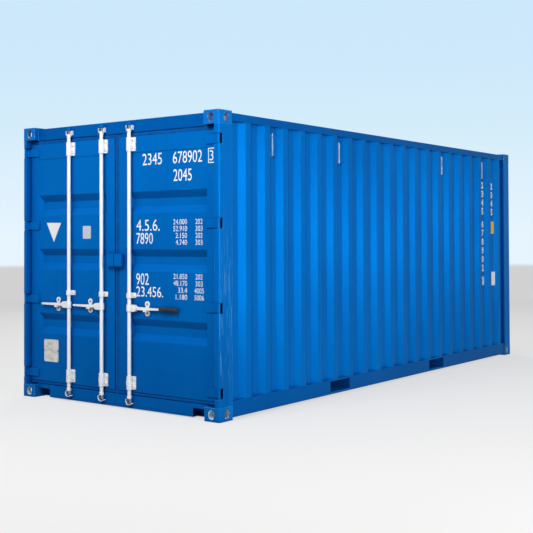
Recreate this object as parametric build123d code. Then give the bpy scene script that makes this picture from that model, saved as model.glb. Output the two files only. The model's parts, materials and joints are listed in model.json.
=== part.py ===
from build123d import *

import os
from math import atan2, cos, pi, remainder, sin

# Twenty-foot steel freight container with two hinged doors, in millimetres.
# Origin: middle of the footprint, level with the undersides of the bottom corner castings.
# +X runs along the length away from the doors, +Y is the left-hand door, +Z is up.
# "Depth" is measured in from the door end, "inset" in from a long side.

# Overall size
LENGTH = 6058
WIDTH = 2438
HEIGHT = 2591

# Corner castings
CASTING_LENGTH = 178
CASTING_WIDTH = 162
CASTING_HEIGHT = 118
CASTING_WALL = 28
CASTING_BACK = 12
CASTING_ROUND = 14
SLOT_LENGTH = 124.5
SLOT_WIDTH = 63.5
SLOT_FROM_END = 102.5
SLOT_FROM_SIDE = 89.5
EYE_HEIGHT = 79.5
EYE_WIDTH = 63.5

# Corner posts
POST_WIDTH = 50
POST_PLATE = 6
POST_ROUND = 18

# Side rails
RAIL_INSET = 8
TOP_RAIL_HEIGHT = 66
TOP_RAIL_WIDTH = 60
TOP_RAIL_PLATE = 3
ROOF_DROP = 16
BOTTOM_RAIL_LOW = 20
BOTTOM_RAIL_HEIGHT = 138
BOTTOM_RAIL_TOP_FLANGE = 48
BOTTOM_RAIL_LOW_FLANGE = 30
BOTTOM_RAIL_PLATE = 4.5

# Corrugated sheets
SHEET = 2
WAVE_DEPTH = 36
WAVE_FLAT = 72
WAVE_SLOPE = 68
WAVE_START = 132
WAVE_BEND = 8
FRONT_INSET = 12
FRONT_DEPTH = 45
FRONT_FLAT = 104
FRONT_SLOPE = 18
FRONT_MARGIN = 60
FRONT_BEND = 6
ROOF_DEPTH = 20
ROOF_PITCH = 205
ROOF_TROUGH = 118
ROOF_SLOPE = 14
ROOF_END = 100
ROOF_MARGIN = 130
ROOF_EDGE_INSET = 22

# Underframe and floor
MEMBER_HEIGHT = 122
MEMBER_FLANGE = 45
MEMBER_PLATE = 4
MEMBER_LOW = 28
MEMBER_COUNT = 18
FLOOR_THICKNESS = 28
FLOOR_GAP = 2
FLOOR_ROWS = 5
FORK_CENTRES = (-1140, 920)
FORK_WIDTH = 360
FORK_LOW = 40
FORK_HEIGHT = 102
FORK_PLATE = 6

# End frames
FRAME_FACE = 50
FRAME_STEP = 110
FRAME_BACK = 150
FRAME_PLATE = 5
HEADER_HEIGHT = 108
HEADER_LIP_DROP = 19
SILL_LOW = 10
SILL_TOP = 125
SILL_NOTCH_WIDTH = 165
SILL_NOTCH_HEIGHT = 78
FRONT_RAIL_DEPTH = 60
FRONT_RAIL_HEIGHT = 60

# Door leaves
LEAF_FACE = 52
LEAF_THICKNESS = 50
LEAF_EDGE_INSET = 60
LEAF_SEAM = 31
LEAF_LOW_GAP = 35
LEAF_TOP_GAP = 36
STILE_WIDTH = 100
LEAF_TOP_RAIL = 146
LEAF_LOW_RAIL = 163
PANEL_SETBACK = 4
TROUGH_LOW_RISE = 389
TROUGH_MIDDLE_LIFT = 50.5
TROUGH_TOP_DROP = 446
TROUGH_HEIGHT = 196
TROUGH_FLOOR = 70
TROUGH_END_GAP = 14
TROUGH_END_SLOPE = 30
GASKET_DEPTH = 72
GASKET_THICKNESS = 28
GASKET_GAP = 8
GASKET_BEVEL = 4
GASKET_SEAM_LIP = 25
GASKET_HINGE_LIP = 5

# Hinges
HINGE_COUNT = 4
HINGE_LOW_END = 75
HINGE_TOP_END = 81
PIN_DEPTH = 16
PIN_INSET = 18
PIN_RADIUS = 8
PIN_FIT = 0.1
KNUCKLE_RADIUS = 14
BLADE_HEIGHT = 76
BLADE_PLATE = 12
BLADE_REACH = 157
BLADE_BEND = 20
LUG_GAP = 1.5
LUG_PLATE = 8.5
LUG_RADIUS = 13
NOTCH_SIDE_DEPTH = 50
NOTCH_JAMB_DEPTH = 60
NOTCH_SPLIT = 30

# Locking rods and their fittings
ROD_RADIUS = 17
ROD_DEPTH = 26
ROD_SILL_LAP = 59
ROD_HEADER_LAP = 63
ROD_OFFSETS = {"left_outer": 604, "left_inner": 174, "right": -174}
COLLAR_RADIUS = 21
COLLAR_HEIGHT = 26
COLLAR_TAPER = 3.5
HORN_HEIGHT = 34
HORN_GAP = 20
HORN_BEVEL = 3
KEEPER_HEIGHT = 22
KEEPER_GAP = 5
KEEPER_WIDTH = 46
KEEPER_FRONT = 14
KEEPER_BEVEL = 8
TONGUE_RADIUS = 6.5
TONGUE_LENGTH = 29
BRACKET_RADIUS = 25
BRACKET_FIT = 0.5
BRACKET_PLATE = 8
BRACKET_REACH = 60
BRACKET_BACK = 30
BRACKET_ROUND = 10
BRACKET_LOW_RISE = 20
BRACKET_LOW_HEIGHT = 118
BRACKET_MIDDLE_RISE = 90
BRACKET_MIDDLE_HEIGHT = 45
BRACKET_TOP_DROP = 9
BRACKET_TOP_HEIGHT = 124

# Handles
HANDLE_RISE = 742
HUB_HEIGHT = 60
HUB_REACH = 62
HUB_EYE = 20
HUB_CHEEK = 6
HUB_GAP = 2
HUB_PIN_RADIUS = 6
HANDLE_THICKNESS = 12
HANDLE_ROOT = 30
HANDLE_TIP = 17
HANDLE_LENGTHS = {"left_outer": 375, "left_inner": 375, "right": 365}
GRIP_RADIUS = 18
GRIP_LENGTH = 196
RETAINER_REACHES = {"left_outer": 168, "left_inner": 168, "right": 196}
RETAINER_WIDTH = 54
RETAINER_HEIGHT = 133
RETAINER_WAIST = 34
RETAINER_ROUND = 6
RETAINER_PLATE = 8
RETAINER_LEDGE = 14
RETAINER_LEDGE_WIDTH = 40
RETAINER_GAP = 1

# Lock box at the seam of the doors
BOX_HEIGHT = 112
BOX_HALF_WIDTH = 95
BOX_FRONT = 6
BOX_PLATE = 5
BOX_SEAM = 4
BOX_FLANGE = 22
BOX_FLANGE_PLATE = 6

# Ventilators
VENT_PLACES = (2, 6)
VENT_WIDTH = 66
VENT_HEIGHT = 210
VENT_DROP = 159
VENT_PLATE = 3
VENT_THICKNESS = 18
VENT_ROUND = 8

REAR = -LENGTH / 2
FRONT = LENGTH / 2
SIDE = WIDTH / 2
ROOF_LEVEL = HEIGHT - ROOF_DROP
TOP_RAIL_LOW = ROOF_LEVEL - TOP_RAIL_HEIGHT
BOTTOM_RAIL_TOP = BOTTOM_RAIL_LOW + BOTTOM_RAIL_HEIGHT
CASTING_GAP = SIDE - CASTING_WIDTH
WALL_REAR = REAR + CASTING_LENGTH
WALL_FRONT = FRONT - CASTING_LENGTH
WAVE_PITCH = 2 * (WAVE_FLAT + WAVE_SLOPE)
WAVE_INSET = RAIL_INSET + WAVE_DEPTH
WALL_LENGTH = WALL_FRONT - WALL_REAR
WAVE_COUNT = int((WALL_LENGTH - WAVE_START + WAVE_FLAT) // WAVE_PITCH)
FRONT_PITCH = 2 * (FRONT_FLAT + FRONT_SLOPE)
FRONT_COUNT = int((2 * (SIDE - POST_WIDTH - FRONT_MARGIN) + FRONT_FLAT) // FRONT_PITCH)
ROOF_COUNT = int((WALL_LENGTH - 2 * ROOF_END - ROOF_TROUGH) // ROOF_PITCH) + 1
VENT_FLATS = [*VENT_PLACES, *(WAVE_COUNT - place for place in VENT_PLACES)]
VENT_LEVEL = TOP_RAIL_LOW - VENT_DROP
FLOOR_LOW = MEMBER_LOW + MEMBER_HEIGHT
FLOOR_TOP = FLOOR_LOW + FLOOR_THICKNESS
HEADER_LOW = ROOF_LEVEL - HEADER_HEIGHT
HEADER_LIP = HEADER_LOW - HEADER_LIP_DROP
LEAF_LOW = SILL_TOP + LEAF_LOW_GAP
LEAF_HIGH = HEADER_LOW - LEAF_TOP_GAP
PANEL_LOW = LEAF_LOW + LEAF_LOW_RAIL
PANEL_HIGH = LEAF_HIGH - LEAF_TOP_RAIL
TROUGH_LOW = PANEL_LOW + TROUGH_LOW_RISE
TROUGH_TOP = PANEL_HIGH - TROUGH_TOP_DROP
TROUGH_MIDDLE = (TROUGH_LOW + TROUGH_TOP) / 2 + TROUGH_MIDDLE_LIFT
HINGE_STEP = (LEAF_HIGH - HINGE_TOP_END - LEAF_LOW - HINGE_LOW_END) / (HINGE_COUNT - 1)
HINGE_LEVELS = [LEAF_LOW + HINGE_LOW_END + place * HINGE_STEP for place in range(HINGE_COUNT)]
ROD_LOW = SILL_TOP - ROD_SILL_LAP
ROD_HIGH = HEADER_LOW + ROD_HEADER_LAP
HANDLE_LEVEL = LEAF_LOW + HANDLE_RISE
BRACKET_LEVELS = (
    (LEAF_LOW + BRACKET_LOW_RISE, BRACKET_LOW_HEIGHT),
    (HANDLE_LEVEL + BRACKET_MIDDLE_RISE, BRACKET_MIDDLE_HEIGHT),
    (LEAF_HIGH - BRACKET_TOP_DROP - BRACKET_TOP_HEIGHT, BRACKET_TOP_HEIGHT),
)
BOX_LOW = TROUGH_MIDDLE - BOX_HEIGHT / 2
BOX_HIGH = TROUGH_MIDDLE + BOX_HEIGHT / 2
PIN_X = REAR + PIN_DEPTH
PIN_Y = SIDE - PIN_INSET
ROD_X = REAR + ROD_DEPTH
LEAF_X = REAR + LEAF_FACE
LEAF_EDGE = SIDE - LEAF_EDGE_INSET
NOTCH_HALF = BLADE_HEIGHT / 2 + LUG_GAP + LUG_PLATE
TOWARDS = {"left_outer": 1, "left_inner": 1, "right": -1}
ALONG = {"x": (Plane.YZ, (1, 0, 0)), "y": (Plane.XZ, (0, 1, 0)), "z": (Plane.XY, (0, 0, 1))}


def block(x, y, z):
    """A box from its two limits along each axis."""
    size = [abs(b - a) for a, b in (x, y, z)]
    return Pos(*[(a + b) / 2 for a, b in (x, y, z)]) * Box(*size)


def prism(axis, face, low, high):
    """A face drawn in the plane across an axis, carried from one limit to the other."""
    plane, way = ALONG[axis]
    start = Pos(*[low * part for part in way])
    return start * extrude(plane * face, high - low, dir=way)


def polygon(points):
    """A filled outline."""
    return make_face(Polyline(*points, close=True))


def strip(points, thickness):
    """The outline of a plate bent along points, thickened to the left with mitred corners."""
    runs = [atan2(b[1] - a[1], b[0] - a[0]) for a, b in zip(points, points[1:])]
    far = []
    for i, (x, y) in enumerate(points):
        first = runs[max(i - 1, 0)]
        bend = remainder(runs[min(i, len(runs) - 1)] - first, 2 * pi) / 2
        reach = thickness / cos(bend)
        normal = first + bend + pi / 2
        far.append((x + reach * cos(normal), y + reach * sin(normal)))
    return polygon(points + far[::-1])


def bent(outline, axis, low, high, radius):
    """The outline of a bent plate with its bends rounded, and the corners at its two ends kept."""
    bends = outline.vertices().filter_by_position(axis, low, high, inclusive=(False, False))
    return fillet(bends, radius)


def hollow(points, plate):
    """A closed section of plate with the given outline."""
    outline = polygon(points)
    return outline - offset(outline, -plate, kind=Kind.INTERSECTION)


def rod_along(axis, radius, centre, low, high):
    """A round bar along an axis, centred in the plane across it."""
    return prism(axis, Pos(*centre) * Circle(radius), low, high)


def pieces(parts):
    """One node of several pieces that stand apart."""
    return Compound(children=list(parts))


def mirrored(part):
    """The same piece for the right-hand side."""
    return mirror(part, about=Plane.XZ)


def casting():
    """Bottom corner casting at the left of the door end, hollow behind its three holes."""
    body = block((REAR, WALL_REAR), (CASTING_GAP, SIDE), (0, CASTING_HEIGHT))
    corner = body.edges().filter_by(Axis.Z).sort_by_distance((REAR, SIDE, CASTING_HEIGHT / 2))
    body = fillet(corner[:1], CASTING_ROUND)
    body -= block(
        (REAR + CASTING_WALL, WALL_REAR - CASTING_BACK),
        (CASTING_GAP + CASTING_BACK, SIDE - CASTING_WALL),
        (CASTING_WALL, CASTING_HEIGHT - CASTING_BACK),
    )
    slot_x, slot_y = REAR + SLOT_FROM_END, SIDE - SLOT_FROM_SIDE
    middle = CASTING_HEIGHT / 2
    eye = SlotOverall(EYE_HEIGHT, EYE_WIDTH, rotation=90)
    body -= prism("z", Pos(slot_x, slot_y) * SlotOverall(SLOT_LENGTH, SLOT_WIDTH), 0, CASTING_WALL)
    body -= prism("x", Pos(slot_y, middle) * eye, REAR, REAR + CASTING_WALL)
    body -= prism("y", Pos(slot_x, middle) * eye, SIDE - CASTING_WALL, SIDE)
    return body


def castings():
    """The four bottom castings and the four top ones."""
    rear_left = casting()
    front_left = mirror(rear_left, about=Plane.YZ)
    left = [rear_left, front_left]
    bottom = left + [mirrored(one) for one in left]
    top = [mirror(one, about=Plane.XY.offset(HEIGHT / 2)) for one in bottom]
    return pieces(bottom), pieces(top)


def post():
    """Left corner post at the door end before its hinge notches: a pressed box with a round corner."""
    corners = [(REAR, SIDE), (WALL_REAR, SIDE), (WALL_REAR, SIDE - POST_WIDTH), (REAR, SIDE - POST_WIDTH)]
    outline = polygon(corners)
    outline = fillet(outline.vertices().sort_by_distance((REAR, SIDE, 0))[:1], POST_ROUND)
    section = outline - offset(outline, -POST_PLATE)
    return prism("z", section, CASTING_HEIGHT, HEIGHT - CASTING_HEIGHT)


def rear_post():
    """The left post at the door end, cut open at each hinge."""
    part = post()
    for level in HINGE_LEVELS:
        height = (level - NOTCH_HALF, level + NOTCH_HALF)
        split = SIDE - NOTCH_SPLIT
        part -= block((REAR, REAR + NOTCH_SIDE_DEPTH), (split, SIDE), height)
        part -= block((REAR, REAR + NOTCH_JAMB_DEPTH), (SIDE - POST_WIDTH, split), height)
    return part


def top_rail():
    """Left top side rail, a square tube between the castings."""
    y = SIDE - RAIL_INSET - TOP_RAIL_WIDTH / 2
    z = ROOF_LEVEL - TOP_RAIL_HEIGHT / 2
    tube = Rectangle(TOP_RAIL_WIDTH, TOP_RAIL_HEIGHT)
    tube -= Rectangle(TOP_RAIL_WIDTH - 2 * TOP_RAIL_PLATE, TOP_RAIL_HEIGHT - 2 * TOP_RAIL_PLATE)
    return prism("x", Pos(y, z) * tube, WALL_REAR, WALL_FRONT)


def bottom_rail():
    """Left bottom side rail, a channel open inwards with the fork pockets cut through its web."""
    web = SIDE - RAIL_INSET
    path = [
        (web - BOTTOM_RAIL_LOW_FLANGE, BOTTOM_RAIL_LOW),
        (web, BOTTOM_RAIL_LOW),
        (web, BOTTOM_RAIL_TOP),
        (web - BOTTOM_RAIL_TOP_FLANGE, BOTTOM_RAIL_TOP),
    ]
    part = prism("x", strip(path, BOTTOM_RAIL_PLATE), WALL_REAR, WALL_FRONT)
    for centre in FORK_CENTRES:
        part -= fork_tube(centre, SIDE)
    return part


def fork_tube(centre, reach):
    """The outside of one fork pocket, through to a distance each side of the middle."""
    half = FORK_WIDTH / 2 + FORK_PLATE
    high = FORK_LOW + FORK_HEIGHT
    return block((centre - half, centre + half), (-reach, reach), (FORK_LOW - FORK_PLATE, high + FORK_PLATE))


def fork_pockets():
    """Two box tubes from side to side for a lift truck's forks."""
    mouth = SIDE - RAIL_INSET
    tubes = []
    for centre in FORK_CENTRES:
        half = FORK_WIDTH / 2
        room = block((centre - half, centre + half), (-mouth, mouth), (FORK_LOW, FORK_LOW + FORK_HEIGHT))
        tubes.append(fork_tube(centre, mouth) - room)
    return pieces(tubes)


def side_wall():
    """Left side wall: one sheet pressed into upright corrugations."""
    inner, outer = SIDE - WAVE_INSET, SIDE - RAIL_INSET
    path = [(WALL_REAR, inner)]
    for wave in range(WAVE_COUNT):
        x = WALL_REAR + WAVE_START + wave * WAVE_PITCH
        path += [(x, inner), (x + WAVE_SLOPE, outer)]
        x += WAVE_SLOPE + WAVE_FLAT
        path += [(x, outer), (x + WAVE_SLOPE, inner)]
    path.append((WALL_FRONT, inner))
    sheet = bent(strip(path, -SHEET), Axis.X, WALL_REAR, WALL_FRONT, WAVE_BEND)
    return prism("z", sheet, BOTTOM_RAIL_TOP, TOP_RAIL_LOW)


def front_wall():
    """End wall opposite the doors, with deeper and steeper corrugations."""
    inner, outer = FRONT - FRONT_INSET - FRONT_DEPTH, FRONT - FRONT_INSET
    edge = SIDE - POST_WIDTH
    start = -(FRONT_COUNT * FRONT_PITCH - FRONT_FLAT) / 2
    path = [(inner, -edge)]
    for wave in range(FRONT_COUNT):
        y = start + wave * FRONT_PITCH
        path += [(inner, y), (outer, y + FRONT_SLOPE)]
        y += FRONT_SLOPE + FRONT_FLAT
        path += [(outer, y), (inner, y + FRONT_SLOPE)]
    path.append((inner, edge))
    sheet = bent(strip(path, SHEET), Axis.Y, -edge, edge, FRONT_BEND)
    part = prism("z", sheet, CASTING_HEIGHT, ROOF_LEVEL - FRONT_RAIL_HEIGHT)
    depth = (WALL_FRONT, FRONT)
    part -= block(depth, (-CASTING_GAP, CASTING_GAP), (CASTING_HEIGHT, BOTTOM_RAIL_TOP))
    for side in (1, -1):
        part -= block(depth, (side * CASTING_GAP, side * SIDE), (HEIGHT - CASTING_HEIGHT, HEIGHT))
    return part


def pan(centre, mouth, floor, depth):
    """A pressed trough: a rectangle at its mouth that narrows to its floor, opening upwards."""
    top = Pos(*centre) * Rectangle(*mouth)
    low = Pos(*centre, -depth) * Rectangle(*floor)
    return loft([top.face(), low.face()])


def roof():
    """Roof sheet with shallow troughs pressed across it, stopping short of the rails."""
    half = SIDE - ROOF_EDGE_INSET
    part = block((WALL_REAR, WALL_FRONT), (-half, half), (0, SHEET))
    across = 2 * (SIDE - ROOF_MARGIN)
    outside, inside = [], []
    for rib in range(ROOF_COUNT):
        centre = ((rib - (ROOF_COUNT - 1) / 2) * ROOF_PITCH, 0)
        mouth = (ROOF_TROUGH, across)
        floor = (ROOF_TROUGH - 2 * ROOF_SLOPE, across - 2 * ROOF_SLOPE)
        wider = tuple(size + 2 * SHEET for size in mouth)
        below = tuple(size + 2 * SHEET for size in floor)
        outside.append(pan(centre, wider, below, ROOF_DEPTH))
        inside.append(Pos(0, 0, SHEET) * pan(centre, mouth, floor, ROOF_DEPTH))
    part = part + outside - inside
    return Pos(0, 0, ROOF_LEVEL) * part


def cross_members():
    """Channels across the underframe, left out where the fork pockets run."""
    web = SIDE - RAIL_INSET - BOTTOM_RAIL_PLATE
    first, last = REAR + FRAME_BACK, FRONT - FRONT_INSET - FRONT_RAIL_DEPTH
    step = (last - first) / (MEMBER_COUNT + 1)
    channels = []
    for place in range(1, MEMBER_COUNT + 1):
        x = first + place * step
        clear = FORK_WIDTH / 2 + FORK_PLATE
        if any(x + MEMBER_FLANGE > fork - clear and x < fork + clear for fork in FORK_CENTRES):
            continue
        path = [
            (x + MEMBER_FLANGE, FLOOR_LOW),
            (x, FLOOR_LOW),
            (x, MEMBER_LOW),
            (x + MEMBER_FLANGE, MEMBER_LOW),
        ]
        channels.append(prism("y", strip(path, MEMBER_PLATE), -web, web))
    return pieces(channels)


def floor_boards():
    """Plywood floor panels, two across and several along."""
    edge = SIDE - RAIL_INSET - BOTTOM_RAIL_TOP_FLANGE - FLOOR_GAP
    first, last = REAR + FRAME_BACK + FLOOR_GAP, FRONT - FRONT_INSET - FRONT_RAIL_DEPTH - FLOOR_GAP
    step = (last - first) / FLOOR_ROWS
    boards = []
    for row in range(FLOOR_ROWS):
        x = (first + row * step, first + (row + 1) * step - FLOOR_GAP)
        for side in (1, -1):
            boards.append(block(x, (side * FLOOR_GAP / 2, side * edge), (FLOOR_LOW, FLOOR_TOP)))
    return pieces(boards)


def door_header():
    """Folded beam over the doors, with a lip behind the leaves and a plate that reaches the roof sheet."""
    face, step, back = REAR + FRAME_FACE, REAR + FRAME_STEP, REAR + FRAME_BACK
    corners = [
        (back, HEADER_LIP),
        (step, HEADER_LIP),
        (step, HEADER_LOW),
        (face, HEADER_LOW),
        (face, ROOF_LEVEL),
        (back, ROOF_LEVEL),
    ]
    beam = prism("y", hollow(corners, FRAME_PLATE), -CASTING_GAP, CASTING_GAP)
    return beam + roof_plate((face, WALL_REAR))


def roof_plate(x):
    """Plate between two top castings that carries the roof sheet's level on to the end of the box."""
    return block(x, (-CASTING_GAP, CASTING_GAP), (ROOF_LEVEL, ROOF_LEVEL + SHEET))


def door_sill():
    """Folded beam under the doors, stepped up behind them and notched beside each casting."""
    face, step, back = REAR + FRAME_FACE, REAR + FRAME_STEP, REAR + FRAME_BACK
    corners = [
        (back, FLOOR_TOP),
        (step, FLOOR_TOP),
        (step, SILL_TOP),
        (face, SILL_TOP),
        (face, SILL_LOW),
        (back, SILL_LOW),
    ]
    part = prism("y", hollow(corners, FRAME_PLATE), -CASTING_GAP, CASTING_GAP)
    for side in (1, -1):
        notch = (side * (CASTING_GAP - SILL_NOTCH_WIDTH), side * CASTING_GAP)
        part -= block((face, step), notch, (SILL_LOW, SILL_LOW + SILL_NOTCH_HEIGHT))
    return part


def front_rail(low, high):
    """Square tube across the closed end."""
    x = (FRONT - FRONT_INSET - FRONT_RAIL_DEPTH, FRONT - FRONT_INSET)
    y = (-CASTING_GAP, CASTING_GAP)
    tube = block(x, y, (low, high))
    room = (x[0] + FRAME_PLATE, x[1] - FRAME_PLATE)
    return tube - block(room, y, (low + FRAME_PLATE, high - FRAME_PLATE))


def leaf_frame():
    """Frame of the left door leaf: two stiles and two rails."""
    x = (LEAF_X, LEAF_X + LEAF_THICKNESS)
    whole = block(x, (LEAF_SEAM, LEAF_EDGE), (LEAF_LOW, LEAF_HIGH))
    return whole - block(x, panel_span(), panel_rise())


def panel_span():
    """Y limits of the left leaf's panel."""
    return LEAF_SEAM + STILE_WIDTH, LEAF_EDGE - STILE_WIDTH


def panel_rise():
    """Z limits of a leaf's panel."""
    return PANEL_LOW, PANEL_HIGH


def seat(y, z):
    """X of the leaf's face behind a fitting: the panel where it lies wholly on that, else the frame."""
    (y0, y1), (z0, z1) = panel_span(), panel_rise()
    reach = sorted(abs(one) for one in y)
    on_panel = y0 <= reach[0] and reach[1] <= y1 and z0 <= z[0] and z[1] <= z1
    return LEAF_X + PANEL_SETBACK if on_panel else LEAF_X


def leaf_panel():
    """Panel of the left leaf with its pressed troughs, which open outwards."""
    (y0, y1), (z0, z1) = panel_span(), panel_rise()
    x = LEAF_X + PANEL_SETBACK
    part = block((x, x + SHEET), (y0, y1), (z0, z1))
    length = y1 - y0 - 2 * TROUGH_END_GAP
    turn = Plane(origin=(x, (y0 + y1) / 2, 0), x_dir=(0, 1, 0), z_dir=(-1, 0, 0))
    outside, inside = [], []
    for level in (TROUGH_LOW, TROUGH_MIDDLE, TROUGH_TOP):
        mouth = (length, TROUGH_HEIGHT)
        floor = (length - 2 * TROUGH_END_SLOPE, TROUGH_FLOOR)
        wider = tuple(size + 2 * SHEET for size in mouth)
        below = tuple(size + 2 * SHEET for size in floor)
        centre = (0, -level)
        outside.append(turn * Pos(0, 0, -SHEET) * pan(centre, wider, below, WAVE_DEPTH))
        inside.append(turn * pan(centre, mouth, floor, WAVE_DEPTH))
    return part + outside - inside


def leaf_gasket():
    """Rubber seal round the edge of the left leaf."""
    x = (REAR + GASKET_DEPTH, REAR + GASKET_DEPTH + GASKET_THICKNESS)
    y = (LEAF_SEAM - GASKET_SEAM_LIP, LEAF_EDGE + GASKET_HINGE_LIP)
    whole = block(x, y, (SILL_TOP + GASKET_GAP, HEADER_LOW - GASKET_GAP))
    whole = chamfer(whole.faces().sort_by(Axis.X)[0].edges(), GASKET_BEVEL)
    return whole - block(x, (LEAF_SEAM, LEAF_EDGE), (LEAF_LOW, LEAF_HIGH))


def hinge_blades():
    """The left leaf's hinge straps: a knuckle on each pin, bent back to lie on the leaf."""
    rise = LEAF_FACE - BLADE_PLATE - PIN_DEPTH
    path = [(PIN_X, PIN_Y), (PIN_X + rise, PIN_Y - BLADE_BEND), (PIN_X + rise, PIN_Y - BLADE_REACH)]
    outline = strip(path, BLADE_PLATE) + Pos(PIN_X, PIN_Y) * Circle(KNUCKLE_RADIUS)
    outline -= Pos(PIN_X, PIN_Y) * Circle(PIN_RADIUS + PIN_FIT)
    half = BLADE_HEIGHT / 2
    return pieces(prism("z", outline, level - half, level + half) for level in HINGE_LEVELS)


def hinge_pins():
    """Left hinge pins, each held by a lug above and a lug below in the post's notch."""
    tail = (PIN_X, REAR + NOTCH_SIDE_DEPTH)
    width = (PIN_Y - LUG_RADIUS, PIN_Y + LUG_RADIUS)
    held = []
    for level in HINGE_LEVELS:
        low, high = level - NOTCH_HALF, level + NOTCH_HALF
        pin = rod_along("z", PIN_RADIUS, (PIN_X, PIN_Y), low, high)
        for lug in ((low, low + LUG_PLATE), (high - LUG_PLATE, high)):
            pin += rod_along("z", LUG_RADIUS, (PIN_X, PIN_Y), *lug) + block(tail, width, lug)
        held.append(pin)
    return pieces(held)


def upside_down(part):
    """The same piece for the lower end of a rod."""
    return mirror(part, about=Plane.XY.offset((ROD_LOW + ROD_HIGH) / 2))


def cams(rod):
    """Locking cams of one rod: at each end two half-moon horns that straddle the keeper's tongue."""
    y = ROD_OFFSETS[rod]
    horns = []
    for side in (1, -1):
        half = Pos(ROD_X, y + side * (HORN_GAP + COLLAR_RADIUS) / 2) * Rectangle(2 * COLLAR_RADIUS, COLLAR_RADIUS)
        moon = half & (Pos(ROD_X, y) * Circle(COLLAR_RADIUS))
        horn = prism("z", moon, ROD_HIGH - HORN_HEIGHT, ROD_HIGH)
        horn = chamfer(horn.faces().sort_by(Axis.Z)[-1].edges(), HORN_BEVEL)
        horns += [horn, upside_down(horn)]
    return pieces(horns)


def lock_rod(rod):
    """One upright locking rod between its cams, with its end collars, handle hub and the hub's pin."""
    y, way = ROD_OFFSETS[rod], TOWARDS[rod]
    low, high = ROD_LOW + HORN_HEIGHT, ROD_HIGH - HORN_HEIGHT
    part = rod_along("z", ROD_RADIUS, (ROD_X, y), low, high)
    collar = rod_along("z", COLLAR_RADIUS, (ROD_X, y), high - COLLAR_HEIGHT, high)
    collar = chamfer(collar.edges().sort_by(Axis.Z)[:1], COLLAR_TAPER)
    part += [collar, upside_down(collar)]
    half = HUB_HEIGHT / 2
    level = (HANDLE_LEVEL - half, HANDLE_LEVEL + half)
    part += rod_along("z", BRACKET_RADIUS, (ROD_X, y), *level)
    gap = HANDLE_THICKNESS / 2 + HUB_GAP
    pivot = (y + way * HUB_REACH, HANDLE_LEVEL)
    for near, far in ((-gap - HUB_CHEEK, -gap), (gap, gap + HUB_CHEEK)):
        cheek = block((ROD_X + near, ROD_X + far), (y, pivot[0]), level)
        part += cheek + rod_along("x", half, pivot, ROD_X + near, ROD_X + far)
    room = block((ROD_X - gap, ROD_X + gap), (pivot[0] - way * (half + HUB_GAP), pivot[0] + way * half), level)
    part -= room
    return part + rod_along("x", HUB_PIN_RADIUS, pivot, ROD_X - gap - HUB_CHEEK, ROD_X + gap + HUB_CHEEK)


def lever_half(rod, reach):
    """Half the height of a rod's lever at a distance from the rod."""
    share = (reach - HUB_REACH) / (HANDLE_LENGTHS[rod] - HUB_REACH)
    return (HANDLE_ROOT + share * (HANDLE_TIP - HANDLE_ROOT)) / 2


def handle(rod):
    """Flat tapered lever with an eye on the hub's pin; its tip is round, or square where a grip follows."""
    y, way = ROD_OFFSETS[rod], TOWARDS[rod]
    eye, tip = y + way * HUB_REACH, y + way * HANDLE_LENGTHS[rod]
    x = (ROD_X - HANDLE_THICKNESS / 2, ROD_X + HANDLE_THICKNESS / 2)
    root, end = HANDLE_ROOT / 2, HANDLE_TIP / 2
    square = rod == "right"
    stop = tip if square else tip - way * end
    corners = [(eye, -root), (stop, -end), (stop, end), (eye, root)]
    part = prism("x", Pos(0, HANDLE_LEVEL) * polygon(corners), *x)
    if not square:
        part += rod_along("x", end, (stop, HANDLE_LEVEL), *x)
    part += rod_along("x", HUB_EYE, (eye, HANDLE_LEVEL), *x)
    return part - rod_along("x", HUB_PIN_RADIUS + PIN_FIT, (eye, HANDLE_LEVEL), *x)


def grip():
    """Dark sleeve on the end of the right-hand lever."""
    start = ROD_OFFSETS["right"] - HANDLE_LENGTHS["right"]
    sleeve = rod_along("y", GRIP_RADIUS, (ROD_X, HANDLE_LEVEL), start - GRIP_LENGTH, start)
    return chamfer(sleeve.edges().sort_by(Axis.Y)[:1], GRIP_RADIUS / 3)


def retainer(rod):
    """Plate of two lobes on the leaf with a ledge that carries the lever."""
    reach = RETAINER_REACHES[rod]
    y = ROD_OFFSETS[rod] + TOWARDS[rod] * reach
    half, rise = RETAINER_WIDTH / 2, RETAINER_HEIGHT / 2
    lobes = Pos(0, rise - half) * Circle(half) + Pos(0, half - rise) * Circle(half)
    outline = lobes + Rectangle(RETAINER_WAIST, RETAINER_HEIGHT - RETAINER_WIDTH)
    outline = Pos(y, HANDLE_LEVEL) * fillet(outline.vertices(), RETAINER_ROUND)
    back = seat((y - half, y + half), (HANDLE_LEVEL - rise, HANDLE_LEVEL + rise))
    part = prism("x", outline, back - RETAINER_PLATE, back)
    ledge = RETAINER_LEDGE_WIDTH / 2
    top = HANDLE_LEVEL - lever_half(rod, reach - ledge) - RETAINER_GAP
    return part + block((ROD_X - HANDLE_THICKNESS, back), (y - ledge, y + ledge), (top - RETAINER_LEDGE, top))


def rod_brackets(rods):
    """Bolted guides that hold the rods against the leaf."""
    guides = []
    for rod in rods:
        y = ROD_OFFSETS[rod]
        foot = (y - BRACKET_REACH, y + BRACKET_BACK)
        for low, height in BRACKET_LEVELS:
            level = (low, low + height)
            back = seat(foot, level)
            plate = RectangleRounded(BRACKET_REACH + BRACKET_BACK, height, BRACKET_ROUND)
            plate = Pos(sum(foot) / 2, low + height / 2) * plate
            guide = rod_along("z", BRACKET_RADIUS, (ROD_X, y), *level)
            guide += block((ROD_X, back), (y - BRACKET_RADIUS, y + BRACKET_RADIUS), level)
            guide += prism("x", plate, back - BRACKET_PLATE, back)
            guides.append(guide - rod_along("z", ROD_RADIUS + BRACKET_FIT, (ROD_X, y), *level))
    return pieces(guides)


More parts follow.
